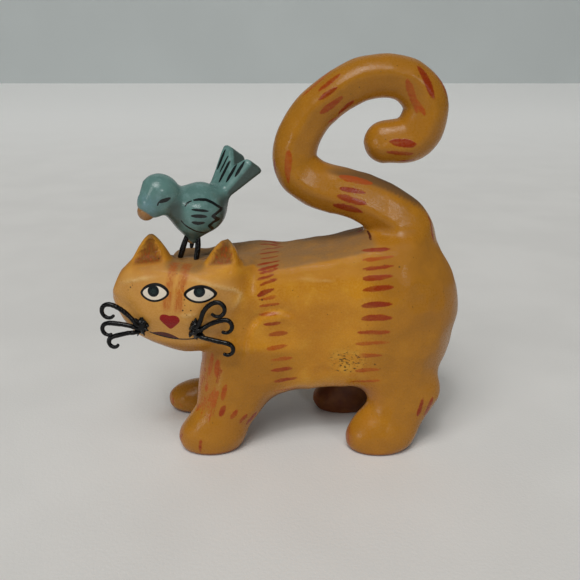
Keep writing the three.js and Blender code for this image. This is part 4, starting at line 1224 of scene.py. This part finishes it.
class CarvedCatStage(bpy.types.PropertyGroup):
    key: FloatProperty(name="Key", description="Power of the main light, in watts",
                       default=208.0, min=0.0, max=2000.0)
    lamp: FloatProperty(name="Lamp", description="Power of the small lamp beside the main light, in"
                        " watts", default=27.0, min=0.0, max=500.0)
    window: FloatProperty(name="Window", description="Power of the small light that makes the"
                          " highlights, in watts", default=9.0, min=0.0, max=100.0)
    fill: FloatProperty(name="Surroundings", description="Strength of the light all round",
                        default=0.1, min=0.0, max=10.0)


# Operators.

# The camera: focal length and picture side in pixels, degrees down, target and metres away.
FOCAL_PIXELS, PICTURE_PIXELS = 700.0, 580.0
CAMERA_DOWN, CAMERA_TARGET, CAMERA_AWAY = 20.0, (0, 0, 57.0), 0.258
# How much the black coat thickens a whisker, a leg and the peg in the middle.
WHISKER_SWELL, LEG_SWELL, PEG_SWELL = 0.46, 0.4, 0.45


class CARVEDCAT_OT_cat(bpy.types.Operator):
    """Carve and paint the cat"""
    bl_idname = "carvedcat.cat"
    bl_label = "Carved cat"

    def execute(self, context):
        sizes = context.scene.carved_cat_sizes
        plugs = []
        for side in ("left", "right"):
            _, root = CHEEKS[side]
            for row in (-1, 0, 1):
                at = root + ACROSS_SKIN * row * SPACING - SKIN * 1.0
                plugs.append((from_head(at), 1.7))
            low, foot, _ = leg_ends(side)
            plugs += [(foot * 0.8 + low * 0.2, 1.5), (foot * 0.2 + low * 0.8, 1.5)]
        piece = carved_piece("cat_body", "carved_cat", cat, sizes.cat_mesh, plugs)
        p = read_points(piece)
        normal = slope(cat, p)
        q = in_head(p)
        # carved ridges: raised a little, and given a painted highlight
        ridge = ridge_lines(q)
        for line, width in BODY_RIDGES:
            d, t = distance_to_line(p, np.array(line))
            ends = np.clip(4 * (t + 0.04) * (1.04 - t), 0, 1)
            ridge = np.maximum(ridge, np.exp(-(d / width) ** 2) * ends)
        uneven = lump_noise(p, 9.0, 1) + lump_noise(p, 3.6, 2) * 0.35
        on_face = smooth(q[:, 1], 2, 6) * smooth(np.abs(q[:, 0]), 26, 22)
        cuts = np.minimum(facets(p, 11.0, 5), 45.0) * (1 - 0.75 * on_face)
        cuts *= 1 - 0.5 * smooth(p[:, 2], 80, 90)
        relief = uneven * sizes.knife_marks + shoulder(p) + ridge * 0.32
        relief = relief + (cuts - 16) * sizes.facets
        soles = np.clip((p[:, 2] - 0.3) / 2.0, 0, 1)
        carved = p + normal * (relief * soles)[:, None]
        carved[:, 2] = np.maximum(carved[:, 2], 0.0)
        write_points(piece, carved)
        edge, tone = lines_paint(p, painted_strokes(), lump_noise(p, 1.6, 3) * 0.16)
        hollow = np.min([ear_hollow(q, e[0], e[1], e[3]) for e in EARS], axis=0)
        feet = np.clip(1 - p[:, 2] / 3.0, 0, 1) ** 2
        toes = np.zeros(len(p))
        for *_, foot, radii, _ in LEGS:
            tip = size((p - np.array(foot) + (radii[0], 0, 0)) / (2.6, 6.5, 6.0))
            toes = np.maximum(toes, np.clip(1.3 - tip, 0, 1))
        scuff = size((p - np.array([20.5, -18.4, 37.0])) / (6.5, 6.0, 5.5))
        # arm: the top of the tail's lower arm, which gets painted shade under the curl; band: the
        # flank's upper edge, duller and partly in painted shade; up: the faces that look up,
        # darkened as painted shade; under: between the legs, in painted shade
        arm = smooth(normal[:, 2], 0.50, 0.72) * smooth(p[:, 2], 104, 100) * smooth(p[:, 2], 80, 86)
        arm *= smooth(p[:, 0], 8, 16) * smooth(p[:, 0], 56, 50)
        band = smooth(normal[:, 2], 0.25, 0.42) * smooth(normal[:, 2], 0.92, 0.8)
        band *= smooth(p[:, 2], 56, 62) * smooth(p[:, 2], 80, 76)
        soft_top = 0.16 * smooth(p[:, 0], -16, -24)
        up = smooth(normal[:, 2], 0.66 - soft_top, 0.76 + soft_top)
        up = up * smooth(p[:, 2], 104, 99) * smooth(p[:, 2], 58, 64)
        up *= np.maximum(smooth(p[:, 0], 31, 27), smooth(p[:, 2], 82, 86))
        # painted shade: darker low down, at the rear, on the tail, over the flank's upper edge and
        # under the jaw, less of it on the face
        ochre_shade = np.maximum(smooth(p[:, 0], 22, 34), smooth(p[:, 2], 24, 8))
        ochre_shade = np.maximum(ochre_shade, smooth(p[:, 2], 80, 90))
        ochre_shade = np.maximum(ochre_shade, 0.45 * band)
        ochre_shade = np.maximum(ochre_shade, smooth(q[:, 2], -10.0, -14.0) * smooth(q[:, 1], 0, 4))
        ochre_shade *= 1 - on_face * smooth(q[:, 2], -14, -10)
        # the chest's front plane, found by where it faces; its browner coat is partly painted shade
        chest = smooth(-normal[:, 0], 0.30, 0.62)
        chest = chest * smooth(p[:, 2], 48, 42) * smooth(p[:, 2], 15, 24)
        # painted shade on the inner sides of the far legs and on faces that look down, low on the
        # body
        toward = -np.sign(p[:, 1]) * normal[:, 1]
        inner = smooth(toward, 0.0, 0.6) * smooth(p[:, 0], -14, -6)
        under = np.maximum(inner, smooth(-normal[:, 2], 0.3, 0.8)) * smooth(p[:, 2], 26, 21)
        looks = {
            "head_place": q,
            "stroke_edge": edge,
            "stroke_tone": tone,
            "ear_hollow": smooth(hollow, 0.1, -1.0) * (q[:, 2] > 14) * smooth(q[:, 1], 1.0, 3.0),
            "chest": chest,
            "ochre_shade": ochre_shade,
            "arm": arm,
            "matt": band,
            "blush": np.clip(np.maximum(feet, toes), 0, 1),
            "scuff": np.clip(1.15 - scuff, 0, 1),
            "top_shade": up * smooth(hollow, -0.3, 0.4),
            "shade": under,
            "ridge": ridge,
        }
        for name, values in looks.items():
            write_number(piece, name, values)
        finish_piece(piece, cat_paint(context.scene.carved_cat_colours), "cat_paint", "cat_body")
        return {"FINISHED"}


class CARVEDCAT_OT_bird(bpy.types.Operator):
    """Carve and paint the bird"""
    bl_idname = "carvedcat.bird"
    bl_label = "Carved bird"

    def execute(self, context):
        sizes = context.scene.carved_cat_sizes
        plugs = []
        for side in ("left", "right"):
            _, foot, hip = leg_ends(side)
            way = (foot - hip) / size(foot - hip)
            plugs += [(hip + way * s, 1.35) for s in (0.2, 1.2, 2.2)]
        plugs.append((PEG[1] - (0, 0, 0.5), 1.1))
        piece = carved_piece("bird_body", "carved_bird", bird, sizes.bird_mesh, plugs)
        p = read_points(piece)
        uneven = lump_noise(p, 4.0, 5) * 0.10 + lump_noise(p, 1.5, 6) * 0.025
        write_points(piece, p + slope(bird, p) * uneven[:, None])
        edge, _ = lines_paint(p, bird_lines(), lump_noise(p, 0.9, 7) * 0.05)
        write_number(piece, "bird_place", in_bird(p))
        write_number(piece, "mark_edge", edge)
        finish_piece(piece, bird_paint(context.scene.carved_cat_colours), "bird_paint",
                     "bird_body")
        return {"FINISHED"}


class CARVEDCAT_OT_legs(bpy.types.Operator):
    """Bend the bird's wire legs and the peg between them"""
    bl_idname = "carvedcat.legs"
    bl_label = "Bird's legs"

    def execute(self, context):
        black = wire_paint(context.scene.carved_cat_colours)
        for side in ("left", "right"):
            low, _, hip = leg_ends(side)
            t = np.linspace(0, 1, 24)[:, None]
            bow = np.array([0.45 if side == "right" else -0.15, -0.1, 0])
            path = low + (hip - low) * t + bow * np.sin(math.pi * np.clip(t * 1.25 - 0.25, 0, 1))
            piece = rounded_tube("wire_leg_" + side, path, LEG_WIRE / 2, LEG_SWELL, 3)
            finish_piece(piece, black, "wire", "bird_leg_" + side)
        path = PEG[0] + (PEG[1] - PEG[0]) * np.linspace(0, 1, 6)[:, None]
        piece = rounded_tube("wire_peg", path, LEG_WIRE * 0.35, PEG_SWELL, 4)
        finish_piece(piece, black, "wire", "bird_peg")
        return {"FINISHED"}


class CARVEDCAT_OT_whiskers(bpy.types.Operator):
    """Bend the whiskers and set their roots in black glue"""
    bl_idname = "carvedcat.whiskers"
    bl_label = "Whiskers"

    def execute(self, context):
        black = bpy.data.materials["black_wire"]
        glue = context.scene.carved_cat_sizes.glue
        for side in ("left", "right"):
            for row, whisker in enumerate(WHISKERS[side]):
                piece = rounded_tube(f"wire_whisker_{side}_{whisker[0]}",
                                     whisker_path(side, row), WHISKER_WIRE / 2,
                                     WHISKER_SWELL, 10 + row)
                finish_piece(piece, black, "wire", f"whisker_{side}_{whisker[0]}")
            turn, root = CHEEKS[side]
            deselect()
            lumps = []
            for row in (1, 0, -1):
                at = root + ACROSS_SKIN * row * 1.25 + SKIN * 0.45
                lumps.append(ball(from_head(at), glue * (1.0 if row else 1.15)))
            at = root + SKIN * 0.9 - np.array([turn * 1.5, 0, 0])
            lumps.append(ball(from_head(at), glue * 0.8))
            blob = lumps[0]
            join_into(blob, lumps[1:])
            blob.name = "glue_" + side
            take(blob)
            bpy.ops.object.transform_apply(location=True, rotation=True, scale=True)
            remesh(blob, 0.22)
            p = read_points(blob)
            middle = p.mean(0)
            out = (p - middle) / size(p - middle)[:, None]
            spikes = np.maximum(lump_noise(p, 0.8, 8), 0) ** 2 * 2.2 + lump_noise(p, 0.45, 9) * 0.14
            write_points(blob, p + out * spikes[:, None])
            finish_piece(blob, black, "wire")
        return {"FINISHED"}


class CARVEDCAT_OT_stage(bpy.types.Operator):
    """Set the pale floor, the soft lights and the camera"""
    bl_idname = "carvedcat.stage"
    bl_label = "Stage"

    def execute(self, context):
        stage = context.scene.carved_cat_stage
        deselect()
        bpy.ops.mesh.primitive_plane_add(size=3.0, location=(0, 0.6, 0))
        floor = bpy.context.object
        floor.name = "floor"
        bpy.ops.object.transform_apply(location=True, rotation=True, scale=True)
        floor.data.materials.append(cloth_floor(context.scene.carved_cat_colours))
        deselect()
        bpy.ops.mesh.primitive_plane_add(size=3.0, location=(0, 2.1, 1.5))
        backdrop = bpy.context.object
        backdrop.name = "backdrop"
        backdrop.rotation_euler = (math.radians(90), 0, 0)
        bpy.ops.object.transform_apply(location=True, rotation=True, scale=True)
        backdrop.data.materials.append(backdrop_paint(context.scene.carved_cat_colours))
        world = bpy.data.worlds.new("surroundings")
        world.use_nodes = True
        back = world.node_tree.nodes["Background"]
        back.inputs["Color"].default_value = (0.94, 1.0, 0.985, 1.0)
        back.inputs["Strength"].default_value = stage.fill
        context.scene.world = world

        def area(name, place, aim, width, watts, tint=(1, 1, 1)):
            light = bpy.data.lights.new(name, "AREA")
            light.shape = "DISK"
            light.size = width
            light.energy = watts
            light.color = tint
            o = bpy.data.objects.new(name, light)
            context.collection.objects.link(o)
            o.location = place
            o.rotation_mode = "QUATERNION"
            o.rotation_quaternion = (Vector(aim) - Vector(place)).to_track_quat("-Z", "Y")

        def direction(azimuth, elevation, distance):
            """A place seen from the figure; azimuth 0 is in front, 90 to its right."""
            a, e = math.radians(azimuth), math.radians(elevation)
            return Vector((math.sin(a) * math.cos(e), -math.cos(a) * math.cos(e),
                           math.sin(e))) * distance

        middle = (0, 0, 0.06)
        area("key", direction(-18, 58, 6.0), middle, 4.2, stage.key, (1.0, 0.985, 0.96))
        area("lamp", direction(-18, 58, 6.0), middle, 0.7, stage.lamp)
        area("window", direction(25, 22, 3.0), middle, 0.6, stage.window)
        area("side_window", direction(-50, 12, 3.0), middle, 0.6, stage.window * 0.7)

        camera = bpy.data.cameras.new("camera")
        camera.sensor_width = 36.0
        camera.lens = FOCAL_PIXELS / PICTURE_PIXELS * camera.sensor_width
        camera.clip_start = 0.01
        o = bpy.data.objects.new("camera", camera)
        context.collection.objects.link(o)
        down = math.radians(CAMERA_DOWN)
        away = Vector((0, -math.cos(down), math.sin(down)))
        o.location = scene_point(CAMERA_TARGET) + away * CAMERA_AWAY
        o.rotation_mode = "QUATERNION"
        o.rotation_quaternion = (-away).to_track_quat("-Z", "Y")
        context.scene.camera = o
        context.scene.view_settings.view_transform = "Standard"
        return {"FINISHED"}


class CARVEDCAT_PT_panel(bpy.types.Panel):
    """Lists the steps that build the figurine"""
    bl_idname = "CARVEDCAT_PT_panel"
    bl_label = "Carved Cat"
    bl_space_type = "VIEW_3D"
    bl_region_type = "UI"
    bl_category = "Carved Cat"

    def draw(self, context):
        for step in STEPS:
            self.layout.operator("carvedcat." + step)
        for group in ("carved_cat_sizes", "carved_cat_stage", "carved_cat_colours"):
            settings = getattr(context.scene, group)
            box = self.layout.box()
            for name in settings.__annotations__:
                box.prop(settings, name)


STEPS = ("cat", "bird", "legs", "whiskers", "stage")
GROUPS = (("carved_cat_colours", CarvedCatColours), ("carved_cat_sizes", CarvedCatSizes),
          ("carved_cat_stage", CarvedCatStage))
CLASSES = (CarvedCatColours, CarvedCatSizes, CarvedCatStage, CARVEDCAT_OT_cat,
           CARVEDCAT_OT_bird, CARVEDCAT_OT_legs, CARVEDCAT_OT_whiskers, CARVEDCAT_OT_stage,
           CARVEDCAT_PT_panel)


def register():
    for cls in CLASSES:
        bpy.utils.register_class(cls)
    for name, group in GROUPS:
        setattr(bpy.types.Scene, name, PointerProperty(type=group))


def unregister():
    for name, _ in GROUPS:
        delattr(bpy.types.Scene, name)
    for cls in reversed(CLASSES):
        bpy.utils.unregister_class(cls)


def main():
    register()
    for step in STEPS:
        getattr(bpy.ops.carvedcat, step)()


if __name__ == "__main__":
    main()
